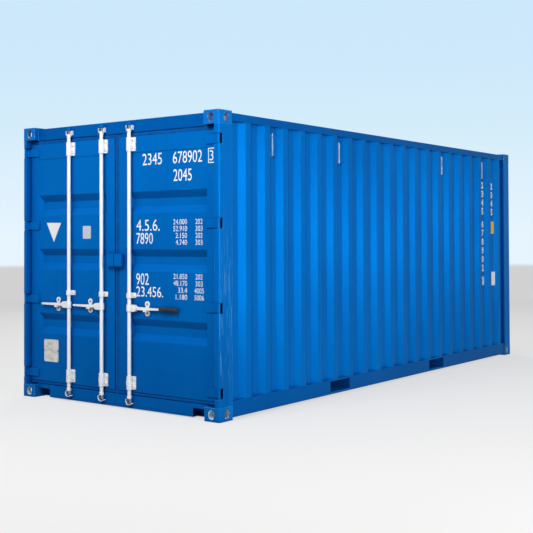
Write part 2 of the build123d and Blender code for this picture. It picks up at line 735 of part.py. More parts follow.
def keepers():
    """Blocks on the header and the sill, each with a round tongue between the horns of a rod's end."""
    x = (REAR + KEEPER_FRONT, REAR + FRAME_FACE)
    low = ROD_HIGH + KEEPER_GAP
    lugs = []
    for y in ROD_OFFSETS.values():
        lug = block(x, (y - KEEPER_WIDTH / 2, y + KEEPER_WIDTH / 2), (low, low + KEEPER_HEIGHT))
        lug = chamfer(lug.faces().sort_by(Axis.X)[0].edges().filter_by(Axis.Z), KEEPER_BEVEL)
        lug += rod_along("z", TONGUE_RADIUS, (ROD_X, y), ROD_HIGH - TONGUE_LENGTH, low)
        lugs += [lug, upside_down(lug)]
    return pieces(lugs)


def lock_box():
    """Left half of the box that shields the padlock, open below and towards the seam."""
    front = (REAR + BOX_FRONT, LEAF_X)
    part = block(front, (BOX_SEAM, BOX_HALF_WIDTH), (BOX_LOW, BOX_HIGH))
    part -= block(
        (REAR + BOX_FRONT + BOX_PLATE, LEAF_X),
        (BOX_SEAM, BOX_HALF_WIDTH - BOX_PLATE),
        (BOX_LOW, BOX_HIGH - BOX_PLATE),
    )
    part += block(
        (LEAF_X - BOX_FLANGE_PLATE, LEAF_X),
        (BOX_HALF_WIDTH - BOX_PLATE, BOX_HALF_WIDTH + BOX_FLANGE),
        (BOX_LOW - BOX_FLANGE, BOX_HIGH + BOX_FLANGE),
    )
    return part


def ventilators():
    """Small hoods open below, in some of the inner flats, high on both side walls."""
    hoods = []
    outer = SIDE - WAVE_INSET
    for flat in VENT_FLATS:
        x = WALL_REAR + WAVE_START + flat * WAVE_PITCH - WAVE_FLAT / 2
        half, rise = VENT_WIDTH / 2, VENT_HEIGHT / 2
        hood = block((x - half, x + half), (outer, outer + VENT_THICKNESS), (VENT_LEVEL - rise, VENT_LEVEL + rise))
        front = hood.faces().sort_by(Axis.Y)[-1]
        hood = fillet(front.edges(), VENT_ROUND)
        wall = half - VENT_PLATE
        room = (outer, outer + VENT_THICKNESS - VENT_PLATE)
        hood -= block((x - wall, x + wall), room, (VENT_LEVEL - rise, VENT_LEVEL + rise - VENT_PLATE))
        hoods += [hood, mirrored(hood)]
    return pieces(hoods)


def container():
    """Every node by name."""
    nodes = {}
    nodes["bottom_castings"], nodes["top_castings"] = castings()
    pairs = {
        "rear_post": rear_post(),
        "front_post": mirror(post(), about=Plane.YZ),
        "top_rail": top_rail(),
        "bottom_rail": bottom_rail(),
        "side_wall": side_wall(),
        "hinge_pins": hinge_pins(),
        "door_frame": leaf_frame(),
        "door_panel": leaf_panel(),
        "door_gasket": leaf_gasket(),
        "hinge_blades": hinge_blades(),
        "lock_box": lock_box(),
    }
    for name, part in pairs.items():
        nodes["left_" + name] = part
        nodes["right_" + name] = mirrored(part)
    nodes["door_header"] = door_header()
    nodes["door_sill"] = door_sill()
    nodes["front_header"] = front_rail(ROOF_LEVEL - FRONT_RAIL_HEIGHT, ROOF_LEVEL)
    nodes["front_header"] += roof_plate((WALL_FRONT, FRONT - FRONT_INSET))
    nodes["front_sill"] = front_rail(BOTTOM_RAIL_LOW, BOTTOM_RAIL_TOP)
    nodes["front_wall"] = front_wall()
    nodes["roof"] = roof()
    nodes["cross_members"] = cross_members()
    nodes["fork_pockets"] = fork_pockets()
    nodes["floor_boards"] = floor_boards()
    nodes["ventilators"] = ventilators()
    nodes["cam_keepers"] = keepers()
    nodes["left_rod_brackets"] = rod_brackets(["left_outer", "left_inner"])
    nodes["right_rod_brackets"] = rod_brackets(["right"])
    nodes["left_handle_retainers"] = pieces([retainer("left_outer"), retainer("left_inner")])
    nodes["right_handle_retainer"] = retainer("right")
    for rod in ROD_OFFSETS:
        nodes[rod + "_lock_rod"] = lock_rod(rod)
        nodes[rod + "_cams"] = cams(rod)
        nodes[rod + "_handle"] = handle(rod)
    nodes["right_handle_grip"] = grip()
    return nodes


os.makedirs("parts", exist_ok=True)
for name, part in container().items():
    export_step(part, f"parts/{name}.step")
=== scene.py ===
import json
import logging
import math
from collections.abc import Sequence
from dataclasses import dataclass
from enum import Enum
from typing import Any, Union

import bmesh
import bpy
from mathutils import Matrix, Vector


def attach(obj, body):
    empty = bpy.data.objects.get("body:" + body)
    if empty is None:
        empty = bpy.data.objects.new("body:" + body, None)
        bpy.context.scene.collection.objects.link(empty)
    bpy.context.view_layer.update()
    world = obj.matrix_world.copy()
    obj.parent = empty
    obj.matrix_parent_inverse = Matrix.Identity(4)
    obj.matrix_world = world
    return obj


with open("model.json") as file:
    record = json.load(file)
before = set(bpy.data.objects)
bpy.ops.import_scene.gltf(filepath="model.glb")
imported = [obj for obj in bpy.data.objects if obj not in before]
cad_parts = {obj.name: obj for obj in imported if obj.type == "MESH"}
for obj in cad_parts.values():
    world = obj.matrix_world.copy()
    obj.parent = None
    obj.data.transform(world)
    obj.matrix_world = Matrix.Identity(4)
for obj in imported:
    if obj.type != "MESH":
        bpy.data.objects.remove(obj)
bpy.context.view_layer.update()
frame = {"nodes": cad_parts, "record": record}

# A twenty-foot freight container in metres: doors at -X, left-hand door at +Y, up +Z, as packed.

Colour = tuple[float, float, float]
Point = tuple[float, float, float]
Pair = tuple[float, float]
Feed = Union["Signal", float, Sequence[float]]

log = logging.getLogger("container")

X_AXIS, Y_AXIS, Z_AXIS = Vector((1, 0, 0)), Vector((0, 1, 0)), Vector((0, 0, 1))

# The middle value of a noise.
NOISE_MIDDLE = 0.5

# Places that several assemblies share: the faces of a door leaf, the levers and the lock rods.
LEAF_FACE, PANEL_FACE = -2.977, -2.973
HANDLE_LEVEL = 0.902
OUTER_ROD, INNER_ROD = 0.604, 0.174

# Turned profiles as radius and height: washer and bolt head in thread radii, dome in its own size.
WASHER = ((2.05, 0.0), (2.05, 0.3), (1.95, 0.36))
BOLT_HEAD = ((1.55, 0.36), (1.55, 1.3), (1.3, 1.5))
DOME = ((1.0, 0.0), (1.0, 0.2), (0.86, 0.62), (0.55, 0.9), (0.15, 1.0))
WASHER_SIDES, HEAD_SIDES, DOME_SIDES = 20, 6, 14

# Shares and sizes of beads, straps, lips, painted films and numerals.
BEAD_HOLLOW, BEAD_SIDES = 0.78, 6
STRAP_SHOULDER, STRAP_TOP = 0.8, 0.55
LIP_RIB, LIP_EASE = 0.0025, 0.003
FILM_LIFT, FILM_THICK = 0.0001, 0.0004
NUMERAL_STEPS, NUMERAL_DEPTH = 4, 0.01

# Corners nearer than this are one, and faces that turn by more degrees than this meet in a sharp edge.
SAME_SPOT, SHARP_TURN = 1e-7, 38.0


class Body(Enum):
    """The bodies that pieces ride on."""

    CONTAINER = "container"
    LEFT_DOOR = "left_door"
    RIGHT_DOOR = "right_door"
    LEFT_OUTER_ROD = "left_outer_rod"
    LEFT_INNER_ROD = "left_inner_rod"
    RIGHT_ROD = "right_rod"


class Slot(Enum):
    """The record's material slots."""

    PAINT = "paint"
    ZINC = "galvanised"
    SEAL = "seal"
    PLYWOOD = "plywood"
    GRIP = "grip"


class Side(Enum):
    """The two long sides, by the sign of Y."""

    LEFT = 1
    RIGHT = -1


class Signal:
    """A node's output that takes part in Python sums, each of which adds a Math node."""

    def __init__(self, board: "Board", socket: bpy.types.NodeSocket) -> None:
        """Keeps the board and the socket."""
        self.board = board
        self.socket = socket

    def math(self, operation: str, first: Feed, second: Feed) -> "Signal":
        """One Math node on two values."""
        return self.board.add("ShaderNodeMath", {"operation": operation}, {0: first, 1: second})

    def __add__(self, other: Feed) -> "Signal":
        """This value plus another."""
        return self.math("ADD", self, other)

    def __radd__(self, other: Feed) -> "Signal":
        """Another value plus this one."""
        return self.math("ADD", other, self)

    def __sub__(self, other: Feed) -> "Signal":
        """This value less another."""
        return self.math("SUBTRACT", self, other)

    def __rsub__(self, other: Feed) -> "Signal":
        """Another value less this one."""
        return self.math("SUBTRACT", other, self)

    def __mul__(self, other: Feed) -> "Signal":
        """This value times another."""
        return self.math("MULTIPLY", self, other)

    def __rmul__(self, other: Feed) -> "Signal":
        """Another value times this one."""
        return self.math("MULTIPLY", other, self)

    def __gt__(self, other: Feed) -> "Signal":
        """One where this value is the greater, else nought."""
        return self.math("GREATER_THAN", self, other)

    def __lt__(self, other: Feed) -> "Signal":
        """One where this value is the less, else nought."""
        return self.math("LESS_THAN", self, other)


class Board:
    """The node tree of one material, or of the world."""

    def __init__(self, tree: bpy.types.NodeTree) -> None:
        """Clears the tree and keeps it."""
        tree.nodes.clear()
        self.tree = tree

    def add(
        self,
        kind: str,
        settings: dict[str, Any] | None = None,
        feeds: dict[int | str, Feed] | None = None,
        output: int | str = 0,
    ) -> Signal | None:
        """Adds one node.

        Args:
            kind: the node's type.
            settings: its own settings, set first; "stops" are a ramp's (place, colour) pairs.
            feeds: values or links of its sockets, by index or name.
            output: the output that is wanted.

        Returns:
            That output, or None for a node without outputs.
        """
        node = self.tree.nodes.new(kind)
        for name, value in (settings or {}).items():
            if name == "stops":
                stops = node.color_ramp.elements
                while len(stops) < len(value):
                    stops.new(1.0)
                for stop, (place, colour) in zip(stops, value):
                    stop.position, stop.color = place, (*colour, 1.0)
            else:
                setattr(node, name, value)
        for key, value in (feeds or {}).items():
            if isinstance(value, Signal):
                self.tree.links.new(value.socket, node.inputs[key])
            elif node.inputs[key].type == "RGBA":
                node.inputs[key].default_value = (*value, 1.0)
            else:
                node.inputs[key].default_value = value
        return Signal(self, node.outputs[output]) if node.outputs else None

    def place(self) -> Signal:
        """The point on the surface, in the part's own frame, in metres."""
        return self.add("ShaderNodeTexCoord", output="Object")

    def stretch(self, vector: Signal, scale: Point) -> Signal:
        """A vector with each of its parts scaled."""
        return self.add("ShaderNodeVectorMath", {"operation": "MULTIPLY"}, {0: vector, 1: scale})

    def parts(self, vector: Signal) -> tuple[Signal, Signal, Signal]:
        """The three parts of a vector."""
        node = self.add("ShaderNodeSeparateXYZ", {}, {0: vector}).socket.node
        return tuple(Signal(self, socket) for socket in node.outputs)

    def noise(self, vector: Signal, scale: float, detail: float = 2.0, rough: float = 0.5) -> Signal:
        """Cloudy noise, about 0.5 in the middle."""
        feeds = {"Vector": vector, "Scale": scale, "Detail": detail, "Roughness": rough}
        return self.add("ShaderNodeTexNoise", {}, feeds)

    def cells(self, vector: Signal, scale: float) -> Signal:
        """A steady random value in each of many small cells."""
        colour = self.add("ShaderNodeTexVoronoi", {}, {"Vector": vector, "Scale": scale}, "Color")
        return self.add("ShaderNodeSeparateColor", {}, {0: colour})

    def spread(self, value: Signal, low: float, high: float) -> Signal:
        """A smooth step from nought at one value to one at another."""
        feeds = {"Value": value, "From Min": low, "From Max": high}
        return self.add("ShaderNodeMapRange", {"interpolation_type": "SMOOTHSTEP"}, feeds)

    def within(self, value: Signal, limits: Pair) -> Signal:
        """One between two limits, else nought."""
        return (value > limits[0]) * (value < limits[1])

    def mix(self, factor: Feed, first: Feed, second: Feed) -> Signal:
        """Two colours mixed."""
        return self.add("ShaderNodeMix", {"data_type": "RGBA"}, {0: factor, 6: first, 7: second}, 2)

    def rounded(self, radius: float) -> Signal:
        """The surface's normal with its sharp edges eased."""
        return self.add("ShaderNodeBevel", {"samples": 4}, {"Radius": radius})

    def edge(self, eased: Signal, low: float, high: float) -> Signal:
        """One along the edges that an eased normal turns over, else nought."""
        plain = self.add("ShaderNodeNewGeometry", output="Normal")
        turn = self.add("ShaderNodeVectorMath", {"operation": "DOT_PRODUCT"}, {0: eased, 1: plain}, "Value")
        return self.spread(1 - turn, low, high)

    def crevice(self, reach: float, low: float, high: float) -> Signal:
        """One deep in corners and gaps, nought on open surfaces."""
        open_share = self.add("ShaderNodeAmbientOcclusion", {"samples": 6}, {"Distance": reach}, "AO")
        return 1 - self.spread(open_share, low, high)

    def bump(self, height: Signal, normal: Signal | None = None) -> Signal:
        """A normal that follows a height in metres."""
        feeds: dict[int | str, Feed] = {"Strength": 1.0, "Distance": 1.0, "Height": height}
        if normal is not None:
            feeds["Normal"] = normal
        return self.add("ShaderNodeBump", {}, feeds)


@dataclass(frozen=True)
class Finish:
    """A named finish that makes its own material once."""

    name: str

    def shade(self, board: Board) -> Signal:
        """The finish's shader, which each kind of finish gives."""
        raise NotImplementedError(self.name)

    def material(self) -> bpy.types.Material:
        """The finish as a material.

        Returns:
            The one material of this name.
        """
        made = bpy.data.materials.get(self.name)
        if made is None:
            made = bpy.data.materials.new(self.name)
            made.use_nodes = True
            board = Board(made.node_tree)
            board.add("ShaderNodeOutputMaterial", {}, {"Surface": self.shade(board)})
        return made


@dataclass(frozen=True)
class Patches:
    """A noise that shows in patches, and how far it tints and dulls a finish."""

    scale: float = 1.0
    grain: Point = (1.0, 1.0, 1.0)
    detail: float = 2.0
    rough: float = 0.5
    span: Pair = (0.3, 0.7)
    strength: float = 1.0
    dulling: float = 0.0

    def noise(self, board: Board, place: Signal) -> Signal:
        """The noise, stretched along its grain."""
        return board.noise(board.stretch(place, self.grain), self.scale, self.detail, self.rough)

    def share(self, board: Board, noise: Signal) -> Signal:
        """How much shows: nought below the span and the full strength above it."""
        return board.spread(noise, *self.span) * self.strength

    def mask(self, board: Board, place: Signal) -> Signal:
        """How much shows at a point on the surface."""
        return self.share(board, self.noise(board, place))

    def dull(self, noise: Signal) -> Signal:
        """What the noise adds to the roughness, or takes from it."""
        return self.dulling * (noise - NOISE_MIDDLE)


@dataclass(frozen=True)
class Paint(Finish):
    """Satin paint on steel: cloudy tone, rain runs, dirt, orange peel, a slow sway and eased edges, with
    painted shade in corners, on undersides and low on the doors, pale edges that are part wear and part
    painted highlight, and where set painted light in castings and on vent hoods.
    """

    fresh: Colour = (0.0, 0.162, 0.57)
    deep: Colour = (0.0, 0.12, 0.45)
    # Pale tone of the edges, part faded paint and part painted highlight; on vent hoods it is all painted
    # highlight.
    faded_and_lit: Colour = (0.02, 0.2, 0.64)
    bare: Colour = (0.25, 0.58, 0.88)
    # Painted shade: the dark tone laid into corners and gaps, on faces that look down and low on the doors.
    painted_shade: Colour = (0.0, 0.05, 0.24)
    sheen: Colour = (0.12, 1.0, 1.0)
    # Painted light: the pale tone inside the hollow castings.
    lit_chamber: Colour = (0.93, 0.95, 0.97)
    clouds: Patches = Patches(0.8, detail=4.0, strength=0.55, dulling=0.1)
    runs: Patches = Patches(grain=(11.0, 11.0, 0.45), detail=3.0, span=(0.5, 0.75), strength=0.3)
    grime: Patches = Patches(26.0, detail=5.0, rough=0.65, span=(0.55, 0.85), strength=0.2, dulling=0.14)
    # How far and how strongly corners and gaps are darkened by their occlusion, as painted shade.
    corner_reach: float = 0.09
    corner_open: Pair = (0.3, 0.9)
    corner_shade: float = 0.7
    # Painted shade on faces that look down, and a darker tone towards the bottom of the doors.
    underside: float = -0.25
    underside_shade: float = 0.35
    low_shade_end: float = -2.9
    low_shade_reach: Pair = (0.1, 1.4)
    low_shade: float = 0.28
    edge: float = 0.004
    # How strongly the edges are paled: part wear, part painted highlight.
    edge_wear_and_highlight: float = 0.65
    rim_turn: Pair = (0.03, 0.3)
    rim_grime: Pair = (0.25, 0.6)
    peel: float = 0.00006
    peel_scale: float = 420.0
    sway: float = 0.0009
    sway_scale: float = 2.6
    sway_detail: float = 1.0
    gloss: float = 0.34
    depth: float = 0.27
    specular: float = 0.03
    scuffed: bool = False
    rubs: Patches = Patches(
        grain=(150.0, 150.0, 3.0), detail=4.0, rough=0.6, span=(0.58, 0.66), strength=0.55,
    )
    rub_side: float = -1.2165
    rub_rise: Pair = (0.2, 0.5)
    rub_fall: Pair = (1.2, 1.9)
    # Where set, the inside of the castings is paled as painted light, less in the upper ones.
    hollow: bool = False
    chamber_x: Pair = (2.855, 3.024)
    chamber_y: Pair = (1.061, 1.214)
    chamber_low: Pair = (0.004, 0.114)
    chamber_high: Pair = (2.477, 2.587)
    chamber_upper: float = 0.45
    chamber_grime: Pair = (0.2, 0.6)
    # Where set, faces that look towards the doors are paled as a painted highlight.
    lit_hood: bool = False
    highlight_facing: float = -0.4
    hood_highlight: float = 0.85

    def chamber(self, board: Board, place: Signal) -> Signal:
        """Painted light inside a corner casting, behind its holes.

        Args:
            board: the material's node tree.
            place: the point on the surface.

        Returns:
            One inside the lower castings, less in the upper ones, else nought.
        """
        away = board.add("ShaderNodeVectorMath", {"operation": "ABSOLUTE"}, {0: place})
        x, y, _ = board.parts(away)
        _, _, z = board.parts(place)
        level = board.within(z, self.chamber_low) + self.chamber_upper * board.within(z, self.chamber_high)
        return board.within(x, self.chamber_x) * board.within(y, self.chamber_y) * level

    def scuffs(self, board: Board, place: Signal) -> Signal:
        """Pale upright rubs on the outer face of a post.

        Args:
            board: the material's node tree.
            place: the point on the surface.

        Returns:
            How much of a rub shows.
        """
        _, y, z = board.parts(place)
        reach = board.spread(z, *self.rub_rise) * (1 - board.spread(z, *self.rub_fall))
        return self.rubs.mask(board, place) * reach * (y < self.rub_side)

    def shade_below(self, board: Board, place: Signal, over: Signal) -> Signal:
        """Painted shade on the faces that look down, and darker towards the bottom of the doors.

        Args:
            board: the material's node tree.
            place: the point on the surface.
            over: how far the surface faces up.

        Returns:
            How much of the painted shade shows.
        """
        x, _, z = board.parts(place)
        low_door = (x < self.low_shade_end) * (1 - board.spread(z, *self.low_shade_reach))
        under = self.underside_shade * (over < self.underside)
        return under + self.low_shade * low_door * (over > self.underside)

    def shade(self, board: Board) -> Signal:
        """Paint with its tone, gloss and surface all varying.

        Args:
            board: the material's node tree.

        Returns:
            The shader.
        """
        place = board.place()
        cloud = self.clouds.noise(board, place)
        grime = self.grime.noise(board, place)
        eased = board.rounded(self.edge)
        facing, _, over = board.parts(board.add("ShaderNodeNewGeometry", output="Normal"))
        tone = board.mix(self.clouds.share(board, cloud), self.fresh, self.deep)
        tone = board.mix(self.runs.mask(board, place), tone, self.deep)
        tone = board.mix(self.grime.share(board, grime), tone, self.deep)
        # Painted shade: corners and gaps darkened by their occlusion.
        corners = board.crevice(self.corner_reach, *self.corner_open)
        tone = board.mix(corners * self.corner_shade, tone, self.painted_shade)
        # Painted shade on undersides and towards the bottom of the doors.
        tone = board.mix(self.shade_below(board, place, over), tone, self.painted_shade)
        # Edges paled: part faded paint, part painted highlight.
        edge_wear_and_highlight = board.edge(eased, *self.rim_turn) * board.spread(grime, *self.rim_grime)
        tone = board.mix(edge_wear_and_highlight * self.edge_wear_and_highlight, tone, self.faded_and_lit)
        if self.scuffed:
            tone = board.mix(self.scuffs(board, place), tone, self.bare)
        # Painted light inside the castings.
        if self.hollow:
            inside = self.chamber(board, place) * board.spread(grime, *self.chamber_grime)
            tone = board.mix(inside, tone, self.lit_chamber)
        # Painted highlight on faces that look towards the doors.
        if self.lit_hood:
            tone = board.mix((facing < self.highlight_facing) * self.hood_highlight, tone, self.faded_and_lit)
        height = board.noise(place, self.peel_scale) * self.peel
        height = height + board.noise(place, self.sway_scale, self.sway_detail) * self.sway
        feeds = {
            "Base Color": tone,
            "Roughness": self.gloss + self.grime.dull(grime) + self.clouds.dull(cloud),
            "Metallic": self.depth,
            "Specular IOR Level": self.specular,
            "Specular Tint": self.sheen,
            "Normal": board.bump(height, eased),
        }
        return board.add("ShaderNodeBsdfPrincipled", {}, feeds)


@dataclass(frozen=True)
class Zinc(Finish):
    """Pale zinc coating with a fine spangle, splashed near the ground, with painted shade in its corners.
    """

    bright: Colour = (0.95, 0.965, 0.975)
    dull: Colour = (0.7, 0.73, 0.75)
    # Painted shade laid into corners and gaps.
    painted_shade: Colour = (0.16, 0.2, 0.26)
    splashed: Colour = (0.34, 0.32, 0.28)
    spangle: float = 260.0
    spangle_tone: float = 0.1
    spangle_gloss: float = 0.1
    spangle_height: float = 0.00004
    patches: Patches = Patches(14.0, detail=4.0, rough=0.6, span=(0.5, 0.8), strength=0.3, dulling=0.16)
    runs: Patches = Patches(grain=(60.0, 60.0, 3.0), detail=3.0, span=(0.6, 0.8), strength=0.15)
    splashes: Patches = Patches(95.0, detail=4.0, rough=0.7, span=(0.5, 0.68), strength=0.75)
    splash_reach: Pair = (0.2, 0.6)
    # How far and how strongly corners are darkened by their occlusion, as painted shade.
    corner_reach: float = 0.016
    corner_open: Pair = (0.2, 0.75)
    corner_shade: float = 0.7
    skin_scale: float = 320.0
    skin_height: float = 0.00007
    edge: float = 0.0025
    metal: float = 0.1
    gloss: float = 0.36

    def shade(self, board: Board) -> Signal:
        """Zinc with spangled tone, soft dull patches and painted shade in its corners.

        Args:
            board: the material's node tree.

        Returns:
            The shader.
        """
        place = board.place()
        _, _, level = board.parts(place)
        flakes = board.cells(place, self.spangle)
        patches = self.patches.noise(board, place)
        tired = flakes * self.spangle_tone + self.patches.share(board, patches)
        tone = board.mix(tired, self.bright, self.dull)
        tone = board.mix(self.runs.mask(board, place), tone, self.dull)
        # Painted shade: corners and gaps darkened by their occlusion.
        corners = board.crevice(self.corner_reach, *self.corner_open)
        tone = board.mix(corners * self.corner_shade, tone, self.painted_shade)
        splash = self.splashes.mask(board, place) * (1 - board.spread(level, *self.splash_reach))
        tone = board.mix(splash, tone, self.splashed)
        height = flakes * self.spangle_height + board.noise(place, self.skin_scale) * self.skin_height
        feeds = {
            "Base Color": tone,
            "Metallic": self.metal,
            "Roughness": self.gloss + self.spangle_gloss * flakes + self.patches.dull(patches),
            "Normal": board.bump(height, board.rounded(self.edge)),
        }
        return board.add("ShaderNodeBsdfPrincipled", {}, feeds)


@dataclass(frozen=True)
class Rubber(Finish):
    """Matt moulded rubber with dusty patches, ribbed where it is a grip."""

    dark: Colour = (0.0, 0.092, 0.37)
    dusty: Colour = (0.0, 0.125, 0.48)
    dust: Patches = Patches(18.0, detail=5.0, rough=0.65, span=(0.4, 0.75), dulling=0.25)
    ribs: float = 0.0
    rib_height: float = 0.0007
    skin_scale: float = 900.0
    skin_height: float = 0.00006
    edge: float = 0.002
    gloss: float = 0.7
    specular: float = 0.12

    def shade(self, board: Board) -> Signal:
        """Rubber with a fine skin.

        Args:
            board: the material's node tree.

        Returns:
            The shader.
        """
        place = board.place()
        dust = self.dust.noise(board, place)
        skin = board.noise(place, self.skin_scale) * self.skin_height
        if self.ribs:
            _, y, _ = board.parts(place)
            ring = board.add("ShaderNodeMath", {"operation": "SINE"}, {0: y * self.ribs})
            skin = skin + ring * self.rib_height
        feeds = {
            "Base Color": board.mix(self.dust.share(board, dust), self.dark, self.dusty),
            "Roughness": self.gloss + self.dust.dull(dust),
            "Specular IOR Level": self.specular,
            "Normal": board.bump(skin, board.rounded(self.edge)),
        }
        return board.add("ShaderNodeBsdfPrincipled", {}, feeds)


@dataclass(frozen=True)
class Plywood(Finish):
    """Worn plywood with its grain along the length of the floor."""

    light: Colour = (0.3, 0.165, 0.08)
    dark: Colour = (0.13, 0.065, 0.032)
    rubbed: Colour = (0.06, 0.045, 0.04)
    figure: Patches = Patches(grain=(1.6, 15.0, 15.0), detail=6.0, rough=0.6)
    fibre: Patches = Patches(
        grain=(14.0, 420.0, 420.0), detail=3.0, span=(0.5, 0.72), strength=0.45, dulling=0.2,
    )
    marks: Patches = Patches(grain=(0.5, 9.0, 9.0), detail=5.0, rough=0.7, span=(0.56, 0.75), strength=0.5)
    figure_height: float = 0.0004
    fibre_height: float = 0.0003
    edge: float = 0.002
    gloss: float = 0.6
    specular: float = 0.3

    def shade(self, board: Board) -> Signal:
        """Wood grain with scratches and wheel marks.

        Args:
            board: the material's node tree.

        Returns:
            The shader.
        """
        place = board.place()
        figure = self.figure.noise(board, place)
        fibre = self.fibre.noise(board, place)
        tone = board.mix(self.figure.share(board, figure), self.light, self.dark)
        tone = board.mix(self.fibre.share(board, fibre), tone, self.dark)
        tone = board.mix(self.marks.mask(board, place), tone, self.rubbed)
        height = fibre * self.fibre_height + figure * self.figure_height
        feeds = {
            "Base Color": tone,
            "Roughness": self.gloss + self.fibre.dull(fibre),
            "Specular IOR Level": self.specular,
            "Normal": board.bump(height, board.rounded(self.edge)),
        }
        return board.add("ShaderNodeBsdfPrincipled", {}, feeds)


@dataclass(frozen=True)
class Film(Finish):
    """Stencil paint or a sticker: one colour, lightly rubbed and soiled."""

    tone: Colour = (0.88, 0.96, 0.97)
    soiled: Colour = (0.58, 0.7, 0.8)
    wear: float = 0.25
    specks: Patches = Patches(130.0, detail=4.0, rough=0.7, span=(0.58, 0.72), strength=0.6)
    stain: Patches = Patches(9.0, detail=4.0, rough=0.6, span=(0.45, 0.8), strength=0.5, dulling=0.15)
    speck_height: float = 0.00005
    gloss: float = 0.42
    specular: float = 0.3

    def shade(self, board: Board) -> Signal:
        """The film with specks and a soft stain.

        Args:
            board: the material's node tree.

        Returns:
            The shader.
        """
        place = board.place()
        specks = self.specks.noise(board, place)
        stain = self.stain.noise(board, place)
        tired = self.specks.share(board, specks) + self.stain.share(board, stain)
        feeds = {
            "Base Color": board.mix(tired * self.wear, self.tone, self.soiled),
            "Roughness": self.gloss + self.stain.dull(stain),
            "Specular IOR Level": self.specular,
            "Normal": board.bump(specks * self.speck_height),
        }
        return board.add("ShaderNodeBsdfPrincipled", {}, feeds)


@dataclass(frozen=True)
class Aluminium(Finish):
    """Brushed data plate."""

    pale: Colour = (0.86, 0.835, 0.79)
    grey: Colour = (0.56, 0.53, 0.48)
    brush: Patches = Patches(grain=(400.0, 12.0, 900.0), dulling=0.2)
    brush_height: float = 0.00003
    patches: Patches = Patches(22.0, detail=4.0, rough=0.6, span=(0.4, 0.75), dulling=0.15)
    edge: float = 0.001
    metal: float = 0.3
    gloss: float = 0.32

    def shade(self, board: Board) -> Signal:
        """Metal brushed along Y with dull patches.

        Args:
            board: the material's node tree.

        Returns:
            The shader.
        """
        place = board.place()
        brush = self.brush.noise(board, place)
        patches = self.patches.noise(board, place)
        feeds = {
            "Base Color": board.mix(self.patches.share(board, patches), self.pale, self.grey),
            "Metallic": self.metal,
            "Roughness": self.gloss + self.brush.dull(brush) + self.patches.dull(patches),
            "Normal": board.bump(brush * self.brush_height, board.rounded(self.edge)),
        }
        return board.add("ShaderNodeBsdfPrincipled", {}, feeds)


PAINT = Paint("satin_paint")
SHEET_PAINT = Paint("sheet_paint", sway=0.0016, edge=0.006)
# Castings: a lighter copy of the paint as painted light, pale edges part wear and part painted highlight,
# and painted light inside.
LIT_CAST_PAINT = Paint(
    "lit_cast_paint", fresh=(0.005, 0.19, 0.62), deep=(0.0, 0.14, 0.52), faded_and_lit=(0.1, 0.52, 0.9), edge_wear_and_highlight=1.0,
    peel=0.0004, peel_scale=170.0, edge=0.009, gloss=0.44, hollow=True,
)
# Rails and the header: a darker copy of the paint, as painted shade.
SHADED_RAIL_PAINT = Paint("shaded_rail_paint", fresh=(0.0, 0.115, 0.44), deep=(0.0, 0.085, 0.35))
# Vent paint: a painted highlight on the faces towards the doors, and pale edges, part wear and part painted
# highlight.
VENT_PAINT = Paint("vent_paint", faded_and_lit=(0.6, 0.8, 0.93), edge_wear_and_highlight=0.8, edge=0.005, lit_hood=True)
# Post paint: real pale rubs, and pale edges that are part wear and part painted highlight.
POST_PAINT = Paint("scuffed_paint", faded_and_lit=(0.08, 0.36, 0.78), edge_wear_and_highlight=0.9, scuffed=True, edge=0.007)
BEAD_PAINT = Paint("bead_paint", peel=0.00015, sway=0.0, edge=0.001)
ZINC = Zinc("zinc")
GREASED = Zinc("greased_zinc", bright=(0.2, 0.27, 0.37), dull=(0.05, 0.08, 0.14))
SEAL = Rubber("seal_rubber")
GRIP = Rubber("grip_rubber", dark=(0.03, 0.026, 0.024), dusty=(0.075, 0.068, 0.062), ribs=520.0)
PLYWOOD = Plywood("plywood")
STENCIL = Film("stencil_white")
WHITE_STICKER = Film("white_sticker", tone=(0.92, 0.95, 0.95), soiled=(0.6, 0.65, 0.7))
GREY_STICKER = Film("grey_sticker", tone=(0.6, 0.66, 0.74), soiled=(0.34, 0.44, 0.6), wear=0.8)
YELLOW_STICKER = Film("yellow_sticker", tone=(0.95, 0.58, 0.01), soiled=(0.6, 0.36, 0.03))
PLATE = Aluminium("data_plate")
FINISHES = {Slot.PAINT: PAINT, Slot.ZINC: ZINC, Slot.SEAL: SEAL, Slot.PLYWOOD: PLYWOOD, Slot.GRIP: GRIP}


@dataclass(frozen=True)
class Face:
    """A flat place on the container: a point on it, and the ways across and up it."""

    origin: Vector
    across: Vector
    up: Vector = Z_AXIS

    def at(self, u: float, v: float, out: float = 0.0) -> Vector:
        """The point so far across, up and out of the face."""
        return self.origin + self.across * u + self.up * v + self.across.cross(self.up) * out


